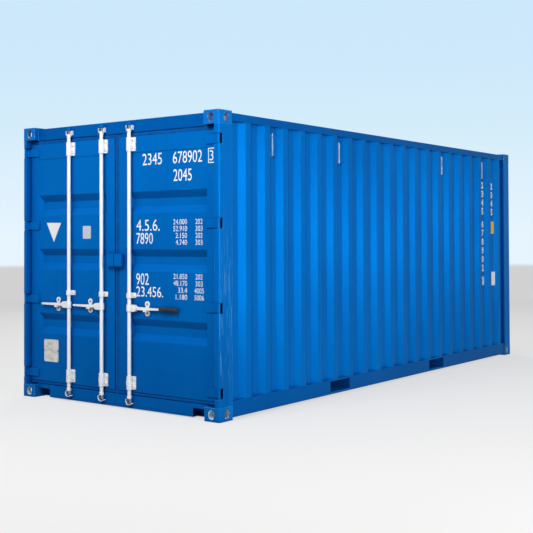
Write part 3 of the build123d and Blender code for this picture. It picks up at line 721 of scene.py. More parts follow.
class Mould:
    """The corners and faces of one piece while it is made."""

    def __init__(self) -> None:
        """Starts with nothing."""
        self.corners: list[Vector] = []
        self.faces: list[list[int]] = []

    def loft(self, rings: Sequence[Sequence[Vector]]) -> None:
        """A closed form skinned over rings of equal count, capped at both ends.

        Args:
            rings: the rings in order, each a loop of corners.
        """
        base, count, last = len(self.corners), len(rings[0]), len(rings) - 1
        for ring in rings:
            self.corners.extend(ring)
        for row in range(last):
            for k in range(count):
                a, b = base + row * count + k, base + row * count + (k + 1) % count
                self.faces.append([a, b, b + count, a + count])
        self.faces.append([base + k for k in reversed(range(count))])
        self.faces.append([base + last * count + k for k in range(count)])

    def turned(self, face: Face, centre: Pair, profile: Sequence[Pair], sides: int) -> None:
        """A turned form that stands out of a face.

        Args:
            face: the face that carries it.
            centre: its place across and up the face.
            profile: pairs of radius and height.
            sides: corners in each ring.
        """
        turns = [math.tau * (k + 0.5) / sides for k in range(sides)]
        rings = []
        for radius, height in profile:
            spots = [(centre[0] + radius * math.cos(t), centre[1] + radius * math.sin(t)) for t in turns]
            rings.append([face.at(u, v, height) for u, v in spots])
        self.loft(rings)

    def bolt(self, face: Face, centre: Pair, size: float) -> None:
        """A hexagon head on a washer.

        Args:
            face: the face that carries it.
            centre: its place across and up the face.
            size: radius of the thread.
        """
        for profile, sides in ((WASHER, WASHER_SIDES), (BOLT_HEAD, HEAD_SIDES)):
            self.turned(face, centre, [(size * r, size * h) for r, h in profile], sides)

    def rivet(self, face: Face, centre: Pair, size: float, rise: float) -> None:
        """A low domed head.

        Args:
            face: the face that carries it.
            centre: its place across and up the face.
            size: its radius.
            rise: its height.
        """
        self.turned(face, centre, [(size * r, rise * h) for r, h in DOME], DOME_SIDES)

    def slab(self, face: Face, spots: Sequence[Pair], thick: float, ease: float = 0.0) -> None:
        """A plate of a given outline on a face, with its outer edge eased.

        Args:
            face: the face that carries it.
            spots: its outline, across and up the face.
            thick: its thickness.
            ease: how far the outer edge is drawn in.
        """
        mid_u = sum(u for u, _ in spots) / len(spots)
        mid_v = sum(v for _, v in spots) / len(spots)
        drawn = []
        for u, v in spots:
            away = math.hypot(u - mid_u, v - mid_v)
            shrink = 1 - ease / away
            drawn.append((mid_u + (u - mid_u) * shrink, mid_v + (v - mid_v) * shrink))
        rings = [[face.at(u, v) for u, v in spots], [face.at(u, v, thick - ease) for u, v in spots]]
        if ease:
            rings.append([face.at(u, v, thick) for u, v in drawn])
        self.loft(rings)

    def folded(self, path: Sequence[Pair], low: float, high: float, out: Vector, thick: float) -> None:
        """A thin film laid over a folded wall.

        Args:
            path: X and Y of the wall's outside, in order.
            low: the film's lower edge.
            high: its upper edge.
            out: the way the wall faces.
            thick: the film's thickness.
        """
        inner = [Vector((x, y, 0.0)) for x, y in path]
        loop = inner + [spot + out * thick for spot in reversed(inner)]
        self.loft([[spot + Z_AXIS * level for spot in loop] for level in (low, high)])

    def bead(self, path: Sequence[Vector], radius: float, across: Vector, step: float = 0.006) -> None:
        """A weld bead along a path: a thin rope with ripples.

        Args:
            path: its corners.
            radius: its thickness at a ripple.
            across: a direction that is never along the path.
            step: length from one ripple's crest to its hollow.
        """
        spots: list[tuple[Vector, Vector]] = []
        for a, b in zip(path, path[1:]):
            way = b - a
            count = max(1, round(way.length / step))
            spots += [(a + way * (k / count), way.normalized()) for k in range(count)]
        spots.append((path[-1], (path[-1] - path[-2]).normalized()))
        turns = [math.tau * k / BEAD_SIDES for k in range(BEAD_SIDES)]
        rings = []
        for place, (spot, way) in enumerate(spots):
            swell = radius * (1.0 if place % 2 else BEAD_HOLLOW)
            first = way.cross(across).normalized() * swell
            second = way.cross(first).normalized() * swell
            rings.append([spot + first * math.cos(t) + second * math.sin(t) for t in turns])
        self.loft(rings)

    def strap(self, path: Sequence[Vector], widths: Sequence[float], out: Vector, depth: float) -> None:
        """A bent bar that stands out of a face, with its outer edges eased.

        Args:
            path: the middle of its foot, from end to end.
            widths: its width at each point of the path.
            out: the way that it stands out.
            depth: how far it stands out.
        """
        rings, last = [], len(path) - 1
        for place, spot in enumerate(path):
            ahead = path[min(place + 1, last)] - path[max(place - 1, 0)]
            side = ahead.normalized().cross(out) * (widths[place] / 2)
            shoulder, top, crown = out * (depth * STRAP_SHOULDER), out * depth, side * STRAP_TOP
            ring = [-side, side, side + shoulder, crown + top, top - crown, shoulder - side]
            rings.append([spot + corner for corner in ring])
        self.loft(rings)

    def lip(self, start: Vector, end: Vector, width: float, out: Vector, depth: float) -> None:
        """A straight lip of a seal with one rib down its middle.

        Args:
            start: the middle of its foot at one end.
            end: the same at the other end.
            width: its width.
            out: the way that it stands out.
            depth: how far it stands out, without the rib.
        """
        across = (end - start).normalized().cross(out)
        half, low, flat = width / 2, depth - LIP_EASE, width / 2 - LIP_EASE
        spots = [(-half, 0.0), (half, 0.0), (half, low), (flat, depth), (LIP_RIB, depth)]
        spots += [(0.0, depth + LIP_RIB), (-LIP_RIB, depth), (-flat, depth), (-half, low)]
        self.loft([[spot + across * u + out * w for u, w in spots] for spot in (start, end)])

    def figures(self, face: Face, text: str, across: Pair, up: Pair, weight: float = 0.0) -> None:
        """Plain numerals painted inside a rectangle of a face.

        Args:
            face: the face that carries them.
            text: the numerals.
            across: the rectangle's limits across the face.
            up: its limits up the face.
            weight: how far the strokes are thickened, as a share of the letter size.
        """
        curve = bpy.data.curves.new("numerals", "FONT")
        curve.body, curve.resolution_u = text, NUMERAL_STEPS
        curve.offset, curve.extrude = weight, NUMERAL_DEPTH
        carrier = bpy.data.objects.new("numerals", curve)
        bpy.context.scene.collection.objects.link(carrier)
        mesh = bpy.data.meshes.new_from_object(carrier.evaluated_get(bpy.context.evaluated_depsgraph_get()))
        spots = [corner.co.copy() for corner in mesh.vertices]
        low = [min(spot[k] for spot in spots) for k in range(3)]
        size = [max(spot[k] for spot in spots) - low[k] for k in range(3)]
        base = len(self.corners)
        for spot in spots:
            u, v, w = ((spot[k] - low[k]) / size[k] for k in range(3))
            u, v = across[0] + u * (across[1] - across[0]), up[0] + v * (up[1] - up[0])
            self.corners.append(face.at(u, v, FILM_LIFT + w * FILM_THICK))
        self.faces += [[base + k for k in polygon.vertices] for polygon in mesh.polygons]
        bpy.data.objects.remove(carrier)
        bpy.data.curves.remove(curve)
        bpy.data.meshes.remove(mesh)

    def border(self, face: Face, across: Pair, up: Pair, width: float) -> None:
        """A painted rectangle's outline.

        Args:
            face: the face that carries it.
            across: its outer limits across the face.
            up: its outer limits up the face.
            width: the line's width.
        """
        (u0, u1), (v0, v1) = across, up
        for a, b in (((u0, u1), (v0, v0 + width)), ((u0, u1), (v1 - width, v1))):
            self.slab(face, box_spots(a, b), FILM_THICK)
        for a in ((u0, u0 + width), (u1 - width, u1)):
            self.slab(face, box_spots(a, (v0 + width, v1 - width)), FILM_THICK)

    def piece(self, name: str, finish: Finish, body: Body, slot: Slot | None = None) -> bpy.types.Object:
        """Makes the piece and lets it ride on a body.

        Args:
            name: the piece's name.
            finish: its finish.
            body: the body that carries it.
            slot: the record's slot that its finish matches, if any; not used.

        Returns:
            The new object.
        """
        mesh = bpy.data.meshes.new(name)
        mesh.from_pydata(self.corners, [], self.faces)
        form = bmesh.new()
        form.from_mesh(mesh)
        bmesh.ops.remove_doubles(form, verts=form.verts, dist=SAME_SPOT)
        bmesh.ops.recalc_face_normals(form, faces=form.faces)
        form.to_mesh(mesh)
        form.free()
        mesh.polygons.foreach_set("use_smooth", [True] * len(mesh.polygons))
        mesh.set_sharp_from_angle(angle=math.radians(SHARP_TURN))
        mesh.materials.append(finish.material())
        made = bpy.data.objects.new(name, mesh)
        bpy.context.scene.collection.objects.link(made)
        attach(made, body.value)
        log.info("piece %s: %d faces on %s", name, len(mesh.polygons), body.value)
        return made


def box_spots(across: Pair, up: Pair) -> list[Pair]:
    """The four corners of a rectangle, in order."""
    return [(across[0], up[0]), (across[1], up[0]), (across[1], up[1]), (across[0], up[1])]


def round_spots(across: Pair, up: Pair, radius: float, steps: int = 4) -> list[Pair]:
    """A rectangle with round corners.

    Args:
        across: its limits across.
        up: its limits up.
        radius: the corners' radius.
        steps: corners in each quarter.

    Returns:
        The outline in order.
    """
    spots = []
    (left, right), (low, high) = across, up
    corners = [(right, high, -1, -1), (left, high, 1, -1), (left, low, 1, 1), (right, low, -1, 1)]
    for quarter, (u, v, su, sv) in enumerate(corners):
        for k in range(steps + 1):
            turn = math.pi / 2 * (quarter + k / steps)
            reach = (radius * math.cos(turn), radius * math.sin(turn))
            spots.append((u + su * radius + reach[0], v + sv * radius + reach[1]))
    return spots


def street(x: float) -> Face:
    """The door end's outside at a depth, as read from the street."""
    return Face(Vector((x, 0, 0)), -Y_AXIS)


def dress(finishes: dict[str, Finish]) -> None:
    """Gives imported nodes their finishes.

    Args:
        finishes: finish of each node.
    """
    for node, finish in finishes.items():
        shape = frame["nodes"][node]
        shape.data.materials.clear()
        shape.data.materials.append(finish.material())
        log.info("node %s: %s", node, finish.name)


@dataclass
class Plating:
    """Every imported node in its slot's finish, with the nodes that need one of their own."""

    sheets: tuple[str, ...] = (
        "left_side_wall", "right_side_wall", "front_wall", "roof", "left_door_panel", "right_door_panel",
    )
    # Castings take a lighter copy of the paint, as painted light.
    castings: tuple[str, ...] = ("bottom_castings", "top_castings")
    scuffed: tuple[str, ...] = ("right_rear_post",)
    # Vents take the paint with a painted highlight.
    vents: tuple[str, ...] = ("ventilators",)
    # Rails and the header take a darker copy of the paint, as painted shade.
    rails: tuple[str, ...] = (
        "left_top_rail", "right_top_rail", "left_bottom_rail", "right_bottom_rail", "door_header",
    )
    cams: tuple[str, ...] = ("left_outer_cams", "left_inner_cams", "right_cams")

    def build(self) -> None:
        """Dresses all nodes."""
        finishes: dict[str, Finish] = {}
        for row in frame["record"]["subparts"]:
            finishes[row["node"]] = FINISHES[Slot(row["material_slot"])]
        finishes.update({node: SHEET_PAINT for node in self.sheets})
        finishes.update({node: LIT_CAST_PAINT for node in self.castings})
        finishes.update({node: POST_PAINT for node in self.scuffed})
        finishes.update({node: VENT_PAINT for node in self.vents})
        finishes.update({node: SHADED_RAIL_PAINT for node in self.rails})
        finishes.update({node: GREASED for node in self.cams})
        dress(finishes)


@dataclass(frozen=True)
class WallSticker:
    """A blank sticker on the side wall: its finish, its width and its limits up the wall."""

    name: str
    finish: Finish
    width: float
    up: Pair


@dataclass
class SideWall:
    """One corrugated side: its weld beads, and on the near side its numbers and stickers."""

    side: Side
    rear: float = -2.851
    front: float = 2.851
    low: float = 0.158
    high: float = 2.509
    inner: float = 1.175
    outer: float = 1.211
    start: float = 0.132
    flat: float = 0.072
    slope: float = 0.068
    waves: int = 20
    bead: float = 0.0035
    columns: tuple[tuple[float, float, str, bool], ...] = (
        (2.285, 2.212, "2345 678902 3", True), (2.562, 2.205, "2045", False),
    )
    figure_pitch: float = 0.1085
    figure_size: Pair = (0.058, 0.086)
    figure_weight: float = 0.05
    boxed_trim: float = 0.007
    box_gap: Pair = (0.005, 0.008)
    box_line: float = 0.01
    labels: tuple[WallSticker, ...] = (
        WallSticker("yellow_sticker", YELLOW_STICKER, 0.084, (1.563, 1.717)),
        WallSticker("white_side_sticker", WHITE_STICKER, 0.098, (0.909, 1.081)),
    )
    label_start: float = 2.5305
    label_bend: tuple[Pair, ...] = ((-0.004, 0.0002), (0.0035, 0.0022))
    label_out: Point = (-0.25, -0.968, 0.0)
    label_thick: float = 0.0006

    @property
    def pitch(self) -> float:
        """Length of one wave of the sheet."""
        return 2 * (self.flat + self.slope)

    def outline(self) -> list[Pair]:
        """The sheet's outside, seen from above.

        Returns:
            X and Y of its corners from the door end on.
        """
        sign = self.side.value
        path = [(self.rear, sign * self.inner)]
        for wave in range(self.waves):
            x = self.rear + self.start + wave * self.pitch
            path += [(x, sign * self.inner), (x + self.slope, sign * self.outer)]
            x += self.slope + self.flat
            path += [(x, sign * self.outer), (x + self.slope, sign * self.inner)]
        return path + [(self.front, sign * self.inner)]

    def beads(self) -> None:
        """Beads along the rails and up the posts."""
        mould = Mould()
        for level in (self.low, self.high):
            mould.bead([Vector((x, y, level)) for x, y in self.outline()], self.bead, Z_AXIS)
        for x in (self.rear, self.front):
            y = self.side.value * self.inner
            mould.bead([Vector((x, y, self.low)), Vector((x, y, self.high))], self.bead, X_AXIS)
        mould.piece(f"{self.side.name.lower()}_wall_beads", BEAD_PAINT, Body.CONTAINER, Slot.PAINT)

    def column(self, mould: Mould, middle: float, top: float, text: str, boxed: bool) -> None:
        """Numerals stacked down an inner flat, a blank in the text leaving half a place.

        Args:
            mould: the piece that gathers them.
            middle: X of the column's middle.
            top: upper edge of the first numeral.
            text: the numerals, from the top down.
            boxed: whether the last one stands in a frame.
        """
        face = Face(Vector((0, -self.inner, 0)), X_AXIS)
        width, height = self.figure_size
        level = top
        for place, numeral in enumerate(text):
            if numeral == " ":
                level -= self.figure_pitch / 2
                continue
            last = boxed and place == len(text) - 1
            trim = self.boxed_trim if last else 0.0
            half = width / 2 - trim
            up = (level - height + trim, level - trim)
            mould.figures(face, numeral, (middle - half, middle + half), up, self.figure_weight)
            if last:
                half, gap = width / 2 + self.box_gap[0], self.box_gap[1]
                up = (level - height - gap, level + gap)
                mould.border(face, (middle - half, middle + half), up, self.box_line)
            level -= self.figure_pitch

    def numbers(self) -> None:
        """Two columns of plain numerals near the closed end."""
        mould = Mould()
        for middle, top, text, boxed in self.columns:
            self.column(mould, middle, top, text, boxed)
        mould.piece("side_numbers", STENCIL, Body.CONTAINER)

    def stickers(self) -> None:
        """Two blank stickers that run from an inner flat up the slope beside it."""
        bend = self.rear + self.start + (self.waves - 1) * self.pitch
        depth = self.outer - self.inner
        run = math.hypot(self.slope, depth)
        for label in self.labels:
            rise = label.width - (bend - self.label_start)
            path = [(self.label_start, -self.inner)]
            path += [(bend + along, -self.inner - out) for along, out in self.label_bend]
            path.append((bend + self.slope * rise / run, -self.inner - depth * rise / run))
            mould = Mould()
            mould.folded(path, *label.up, Vector(self.label_out), self.label_thick)
            mould.piece(label.name, label.finish, Body.CONTAINER)

    def build(self) -> None:
        """Makes what belongs on this side."""
        self.beads()
        if self.side is Side.RIGHT:
            self.numbers()
            self.stickers()


@dataclass
class EndFrame:
    """Beads round the closed end, the roof, the header and the sill."""

    rear_face: float = -2.979
    casting_gap: float = 1.057
    wall_inner: float = 2.972
    wall_outer: float = 3.017
    wall_edge: float = 1.169
    wall_start: float = -1.046
    wall_flat: float = 0.104
    wall_slope: float = 0.018
    wall_waves: int = 9
    wall_low: float = 0.158
    wall_high: float = 2.515
    post_up: Pair = (0.118, 2.473)
    roof_end: float = 2.851
    roof_edge: float = 1.197
    roof_level: float = 2.575
    header_low: float = 2.467
    sill_up: Pair = (0.088, 0.125)
    bead: float = 0.0035
    corner_bead: float = 0.005

    def end_outline(self) -> list[Pair]:
        """The closed end's sheet between the castings, seen from above.

        Returns:
            X and Y of its corners from the right-hand side on.
        """
        path = [(self.wall_inner, -self.casting_gap)]
        for wave in range(self.wall_waves):
            y = self.wall_start + wave * 2 * (self.wall_flat + self.wall_slope)
            path += [(self.wall_inner, y), (self.wall_outer, y + self.wall_slope)]
            y += self.wall_slope + self.wall_flat
            path += [(self.wall_outer, y), (self.wall_inner, y + self.wall_slope)]
        return path + [(self.wall_inner, self.casting_gap)]

    def closed_end(self) -> None:
        """Beads along the end wall's rails and posts."""
        mould = Mould()
        for level in (self.wall_low, self.wall_high):
            mould.bead([Vector((x, y, level)) for x, y in self.end_outline()], self.bead, Z_AXIS)
        for y in (-self.wall_edge, self.wall_edge):
            mould.bead([Vector((self.wall_inner, y, z)) for z in self.post_up], self.bead, X_AXIS)
        mould.piece("end_wall_beads", BEAD_PAINT, Body.CONTAINER, Slot.PAINT)

    def roof(self) -> None:
        """Beads along both edges of the roof sheet."""
        mould = Mould()
        for y in (-self.roof_edge, self.roof_edge):
            path = [Vector((x, y, self.roof_level)) for x in (-self.roof_end, self.roof_end)]
            mould.bead(path, self.bead, Z_AXIS)
        mould.piece("roof_beads", BEAD_PAINT, Body.CONTAINER, Slot.PAINT)

    def door_end(self) -> None:
        """Beads where the header and the sill meet the castings."""
        mould = Mould()
        for y in (-self.casting_gap, self.casting_gap):
            for up in ((self.header_low, self.roof_level), self.sill_up):
                mould.bead([Vector((self.rear_face, y, z)) for z in up], self.corner_bead, X_AXIS)
        mould.piece("door_end_beads", BEAD_PAINT, Body.CONTAINER, Slot.PAINT)

    def build(self) -> None:
        """Makes all the beads."""
        self.closed_end()
        self.roof()
        self.door_end()


@dataclass
class Underframe:
    """Screws that hold the floor boards to the members below."""

    top: float = 0.178
    first: float = -2.879
    last: float = 2.957
    members: int = 18
    flange: float = 0.0225
    rows: int = 9
    reach: Pair = (0.04, 1.12)
    screw: float = 0.0055
    screw_sides: int = 10
    crown: Pair = (0.0003, 0.0008)
    crown_share: float = 0.6

    def build(self) -> None:
        """Makes the rows of screw heads."""
        mould = Mould()
        face = Face(Vector((0, 0, self.top)), X_AXIS, Y_AXIS)
        step = (self.last - self.first) / (self.members + 1)
        near, far = self.reach
        edge, peak = self.crown
        profile = [(self.screw, 0.0), (self.screw, edge), (self.screw * self.crown_share, peak)]
        for place in range(1, self.members + 1):
            x = self.first + place * step + self.flange
            for row in range(self.rows):
                y = near + (far - near) * row / (self.rows - 1)
                for sign in (-1, 1):
                    mould.turned(face, (x, sign * y), profile, self.screw_sides)
        mould.piece("floor_screws", ZINC, Body.CONTAINER, Slot.ZINC)


@dataclass(frozen=True)
class Guide:
    """A lock rod's guide: its lower edge, its height, and its bolts as shares of that height."""

    low: float
    height: float
    on_panel: bool = False
    bolts: tuple[float, ...] = (0.22, 0.78)


@dataclass
class DoorLeaf:
    """One door leaf: beads, bolts, rivets and straps on its fittings, and the lips of its seal."""

    side: Side
    rods: tuple[float, ...]
    bows: tuple[float, ...]
    retainers: tuple[float, ...]
    panel_across: Pair = (0.131, 1.059)
    panel_up: Pair = (0.323, 2.285)
    bead: float = 0.003
    hinge_levels: tuple[float, ...] = (0.235, 0.940, 1.645, 2.350)
    blade_across: Pair = (1.044, 1.159)
    blade_half: float = 0.038
    blade_bead: float = 0.004
    box_across: Pair = (0.09, 0.117)
    box_up: Pair = (1.248, 1.404)
    guides: tuple[Guide, ...] = (
        Guide(0.180, 0.118), Guide(0.992, 0.045, True, (0.5,)), Guide(2.298, 0.124),
    )
    guide_foot: Pair = (-0.06, 0.03)
    guide_wing: float = 0.043
    guide_plate: float = 0.008
    guide_bolt: float = 0.0062
    retainer_plate: float = 0.008
    retainer_rise: float = 0.0395
    retainer_rivet: Pair = (0.0105, 0.005)
    seal_face: float = -2.957
    seal_reach: Point = (0.002, 0.030, 1.155)
    seal_levels: tuple[Pair, ...] = ((0.129, 0.158), (2.433, 2.465))
    seal_depth: float = 0.013
    bow_levels: tuple[float, ...] = (0.288, 0.270, 0.246, 0.216, 0.198, 0.186)
    bow_bulge: tuple[float, ...] = (0.022, 0.035, 0.042, 0.041, 0.034, 0.022)
    bow_width: float = 0.007
    bow_depth: float = 0.014

    @property
    def body(self) -> Body:
        """The body that the leaf's pieces ride on."""
        return Body.LEFT_DOOR if self.side is Side.LEFT else Body.RIGHT_DOOR

    @property
    def word(self) -> str:
        """The side's name in a piece's name."""
        return self.side.name.lower()

    def beads(self) -> None:
        """Beads round the panel, the hinge straps and the lock box."""
        panel = box_spots(self.panel_across, self.panel_up)
        lines = [(PANEL_FACE, [*panel, panel[0]], self.bead)]
        near, far = self.blade_across
        for level in self.hinge_levels:
            low, high = level - self.blade_half, level + self.blade_half
            lines.append((LEAF_FACE, [(far, high), (near, high), (near, low), (far, low)], self.blade_bead))
        (inner, edge), (low, high) = self.box_across, self.box_up
        lines.append((LEAF_FACE, [(inner, low), (edge, low), (edge, high), (inner, high)], self.bead))
        sign, mould = self.side.value, Mould()
        for depth, spots, radius in lines:
            mould.bead([Vector((depth, sign * y, z)) for y, z in spots], radius, X_AXIS)
        mould.piece(f"{self.word}_door_beads", BEAD_PAINT, self.body, Slot.PAINT)

    def bolts(self) -> None:
        """Bolts through the guides."""
        mould = Mould()
        inner, outer = self.panel_across
        for rod in self.rods:
            foot = [abs(rod + reach) for reach in self.guide_foot]
            inside = inner <= min(foot) and max(foot) <= outer
            for guide in self.guides:
                back = PANEL_FACE if guide.on_panel and inside else LEAF_FACE
                for share in guide.bolts:
                    spot = (self.guide_wing - rod, guide.low + share * guide.height)
                    mould.bolt(street(back - self.guide_plate), spot, self.guide_bolt)
        mould.piece(f"{self.word}_door_bolts", ZINC, self.body, Slot.ZINC)

    def rivets(self) -> None:
        """Rivets through the retainers, which sit on the panel."""
        mould, face = Mould(), street(PANEL_FACE - self.retainer_plate)
        for y in self.retainers:
            for rise in (-self.retainer_rise, self.retainer_rise):
                mould.rivet(face, (-y, HANDLE_LEVEL + rise), *self.retainer_rivet)
        mould.piece(f"{self.word}_retainer_rivets", GREASED, self.body, Slot.ZINC)

    def seal(self) -> None:
        """The seal's outer lips in the gaps above, below and beside the leaf."""
        sign, mould = self.side.value, Mould()
        tip, near, far = self.seal_reach
        for low, high in self.seal_levels:
            ends = [Vector((self.seal_face, sign * y, (low + high) / 2)) for y in (near, far)]
            mould.lip(*ends, high - low, -X_AXIS, self.seal_depth)
        reach = (self.seal_levels[0][0], self.seal_levels[-1][1])
        ends = [Vector((self.seal_face, sign * (tip + near) / 2, z)) for z in reach]
        mould.lip(*ends, near - tip, -X_AXIS, self.seal_depth)
        mould.piece(f"{self.word}_seal_lips", SEAL, self.body, Slot.SEAL)

    def straps(self) -> None:
        """Bent straps beside the low guides."""
        mould, foot = Mould(), LEAF_FACE - self.guide_plate
        for rod in self.bows:
            path = [Vector((foot, rod + y, z)) for y, z in zip(self.bow_bulge, self.bow_levels)]
            mould.strap(path, [self.bow_width] * len(path), -X_AXIS, self.bow_depth)
        mould.piece(f"{self.word}_guide_straps", ZINC, self.body, Slot.ZINC)

    def build(self) -> None:
        """Makes what belongs on this leaf."""
        self.beads()
        self.bolts()
        self.rivets()
        self.seal()
        self.straps()


@dataclass
class DoorPlates:
    """The bare data plate and the blank stickers on the left-hand leaf."""

    plate_across: Pair = (-0.979, -0.780)
    plate_up: Pair = (0.347, 0.559)
    plate_gap: float = 0.0006
    plate_corner: float = 0.015
    plate_thick: float = 0.0016
    plate_ease: float = 0.0006
    rivet_inset: Pair = (0.012, 0.011)
    rivet_shape: Pair = (0.005, 0.0038)
    lines: int = 4
    line_first: float = 0.024
    line_pitch: float = 0.0175
    line_inset: float = 0.028
    line_width: float = 0.0016
    line_rise: float = 0.0023
    sticker_thick: float = 0.0007
    sticker_ease: float = 0.0002
    triangle: tuple[Pair, ...] = ((-0.944, 1.672), (-0.844, 1.489), (-0.743, 1.670))
    square_across: Pair = (-0.448, -0.343)
    square_up: Pair = (1.519, 1.637)
    square_corner: float = 0.005

    def data_plate(self) -> None:
        """A plate in two halves, with rivets in its corners and raised lines."""
        face, mould = street(PANEL_FACE), Mould()
        (left, right), (low, high) = self.plate_across, self.plate_up
        middle = (low + high) / 2
        aside, above = self.rivet_inset
        for v0, v1 in ((low, middle - self.plate_gap), (middle + self.plate_gap, high)):
            outline = round_spots(self.plate_across, (v0, v1), self.plate_corner)
            mould.slab(face, outline, self.plate_thick, self.plate_ease)
            for u in (left + aside, right - aside):
                for v in (v0 + above, v1 - above):
                    mould.rivet(face, (u, v), *self.rivet_shape)
            for line in range(self.lines):
                v = v0 + self.line_first + line * self.line_pitch
                across = (left + self.line_inset, right - self.line_inset)
                mould.slab(face, box_spots(across, (v, v + self.line_width)), self.line_rise)
        mould.piece("data_plate", PLATE, Body.LEFT_DOOR)

    def stickers(self) -> None:
        """A triangle and a square."""
        square = round_spots(self.square_across, self.square_up, self.square_corner)
        for name, finish, outline in (
            ("triangle_sticker", WHITE_STICKER, self.triangle),
            ("square_sticker", GREY_STICKER, square),
        ):
            mould = Mould()
            mould.slab(street(PANEL_FACE), outline, self.sticker_thick, self.sticker_ease)
            mould.piece(name, finish, Body.LEFT_DOOR)

    def build(self) -> None:
        """Makes the plate and the stickers."""
        self.data_plate()
        self.stickers()


@dataclass(frozen=True)
class Stencil:
    """A painted number, with its limits across and up the door."""

    text: str
    across: Pair
    up: Pair

    def paint(self, mould: Mould, face: Face) -> None:
        """Adds its numerals to a piece."""
        mould.figures(face, self.text, self.across, self.up)


@dataclass
class DoorNumbers:
    """Plain numerals on the right-hand leaf: a long number, short ones and two tables."""

    number: tuple[Stencil, ...] = (
        Stencil("2345", (0.309, 0.539), (2.165, 2.268)),
        Stencil("678902", (0.667, 0.995), (2.165, 2.268)),
    )
    boxed: Stencil = Stencil("3", (1.078, 1.121), (2.172, 2.257))
    box_across: Pair = (1.063, 1.136)
    box_up: Pair = (2.151, 2.278)
    box_line: float = 0.008
    short_numbers: tuple[Stencil, ...] = (
        Stencil("2045", (0.672, 0.879), (2.012, 2.116)),
        Stencil("4.5.6.", (0.234, 0.512), (1.586, 1.686)),
        Stencil("7890", (0.234, 0.432), (1.471, 1.569)),
        Stencil("902", (0.232, 0.383), (1.110, 1.213)),
        Stencil("23.456.", (0.232, 0.551), (1.006, 1.096)),
    )
    tables: tuple[tuple[float, tuple[tuple[str, str], ...]], ...] = (
        (1.685, (("24.000", "202"), ("52.910", "303"), ("2.150", "202"), ("4.740", "303"))),
        (1.216, (("21.850", "202"), ("48.170", "303"), ("33.4", "4005"), ("1.180", "5006"))),
    )
    row_height: float = 0.045
    row_pitch: float = 0.0588
    amount_end: float = 0.825
    amount_pitch: float = 0.0258
    mark_middle: float = 0.9575
    mark_pitch: float = 0.0262

    def build(self) -> None:
        """Makes all the numerals of the door as one piece."""
        face, stile, mould = street(PANEL_FACE), street(LEAF_FACE), Mould()
        for stencil in self.number:
            stencil.paint(mould, face)
        self.boxed.paint(mould, stile)
        mould.border(stile, self.box_across, self.box_up, self.box_line)
        for stencil in self.short_numbers:
            stencil.paint(mould, face)
        for top, rows in self.tables:
            for row, (amount, mark) in enumerate(rows):
                high = top - row * self.row_pitch
                up = (high - self.row_height, high)
                start = self.amount_end - self.amount_pitch * len(amount)
                mould.figures(face, amount, (start, self.amount_end), up)
                half = self.mark_pitch * len(mark) / 2
                mould.figures(face, mark, (self.mark_middle - half, self.mark_middle + half), up)
        mould.piece("door_numbers", STENCIL, Body.RIGHT_DOOR)


@dataclass
class LockGear:
    """Heads of the pins that carry the levers, and the guards and beads of the cam keepers."""

    rods: tuple[tuple[Body, float, int], ...] = (
        (Body.LEFT_OUTER_ROD, OUTER_ROD, 1), (Body.LEFT_INNER_ROD, INNER_ROD, 1),
        (Body.RIGHT_ROD, -INNER_ROD, -1),
    )
    cheek_face: float = -3.017
    hub_reach: float = 0.062
    pin_head: Pair = (0.0095, 0.0045)
    keeper_levels: tuple[Pair, ...] = ((0.039, 0.061), (2.535, 2.557))
    keeper_half: float = 0.023
    keeper_bead: float = 0.003
    keeper_ripple: float = 0.004
    frame_face: float = -2.979
    prong: tuple[Point, ...] = ((0.0300, 2.488, 0.009), (0.0312, 2.508, 0.009), (0.0355, 2.530, 0.006))
    prong_depth: float = 0.032
    hook_level: float = 0.080
    hook_radius: float = 0.034
    hook_turn: Pair = (158.0, 322.0)
    hook_steps: int = 14
    hook_width: float = 0.010
    hook_taper: float = 0.0003
    hook_depth: float = 0.040

    def pins(self) -> None:
        """The heads of the levers' pins."""
        face = street(self.cheek_face)
        for body, y, way in self.rods:
            mould = Mould()
            mould.rivet(face, (-(y + way * self.hub_reach), HANDLE_LEVEL), *self.pin_head)
            mould.piece(f"{body.value}_pin_head", ZINC, body, Slot.ZINC)

    def beads(self) -> None:
        """Beads round the keepers."""
        mould = Mould()
        for _, y, _ in self.rods:
            for level in self.keeper_levels:
                spots = box_spots((y - self.keeper_half, y + self.keeper_half), level)
                path = [Vector((self.frame_face, a, b)) for a, b in [*spots, spots[0]]]
                mould.bead(path, self.keeper_bead, X_AXIS, self.keeper_ripple)
        mould.piece("keeper_beads", BEAD_PAINT, Body.CONTAINER, Slot.PAINT)

    def guards(self) -> None:
        """Prongs beside the upper cams, and a hook round each lower one."""
        mould, steps = Mould(), self.hook_steps
        first, last = (math.radians(turn) for turn in self.hook_turn)
        turns = [first + (last - first) * k / steps for k in range(steps + 1)]
        bend = [(self.hook_radius * math.cos(t), self.hook_radius * math.sin(t)) for t in turns]
        hook_widths = [self.hook_width - self.hook_taper * k for k in range(steps + 1)]
        for _, y, _ in self.rods:
            for sign in (-1, 1):
                path = [Vector((self.frame_face, y + sign * reach, z)) for reach, z, _ in self.prong]
                mould.strap(path, [width for _, _, width in self.prong], -X_AXIS, self.prong_depth)
            path = [Vector((self.frame_face, y - a, self.hook_level + b)) for a, b in bend]
            mould.strap(path, hook_widths, -X_AXIS, self.hook_depth)
        mould.piece("keeper_guards", ZINC, Body.CONTAINER, Slot.ZINC)

    def build(self) -> None:
        """Makes the pin heads and what stands round the keepers."""
        self.pins()
        self.beads()
        self.guards()


@dataclass(frozen=True)
class Softbox:
    """A large soft lamp."""

    name: str
    place: Point
    aim: Point
    size: Pair
    power: float

    def build(self) -> None:
        """Adds the lamp."""
        lamp = bpy.data.lights.new(self.name, "AREA")
        lamp.shape, lamp.size, lamp.size_y = "RECTANGLE", *self.size
        lamp.energy = self.power
        made = bpy.data.objects.new(self.name, lamp)
        made.location = self.place
        made.rotation_euler = (Vector(self.aim) - Vector(self.place)).to_track_quat("-Z", "Y").to_euler()
        made.visible_camera = False
        bpy.context.scene.collection.objects.link(made)


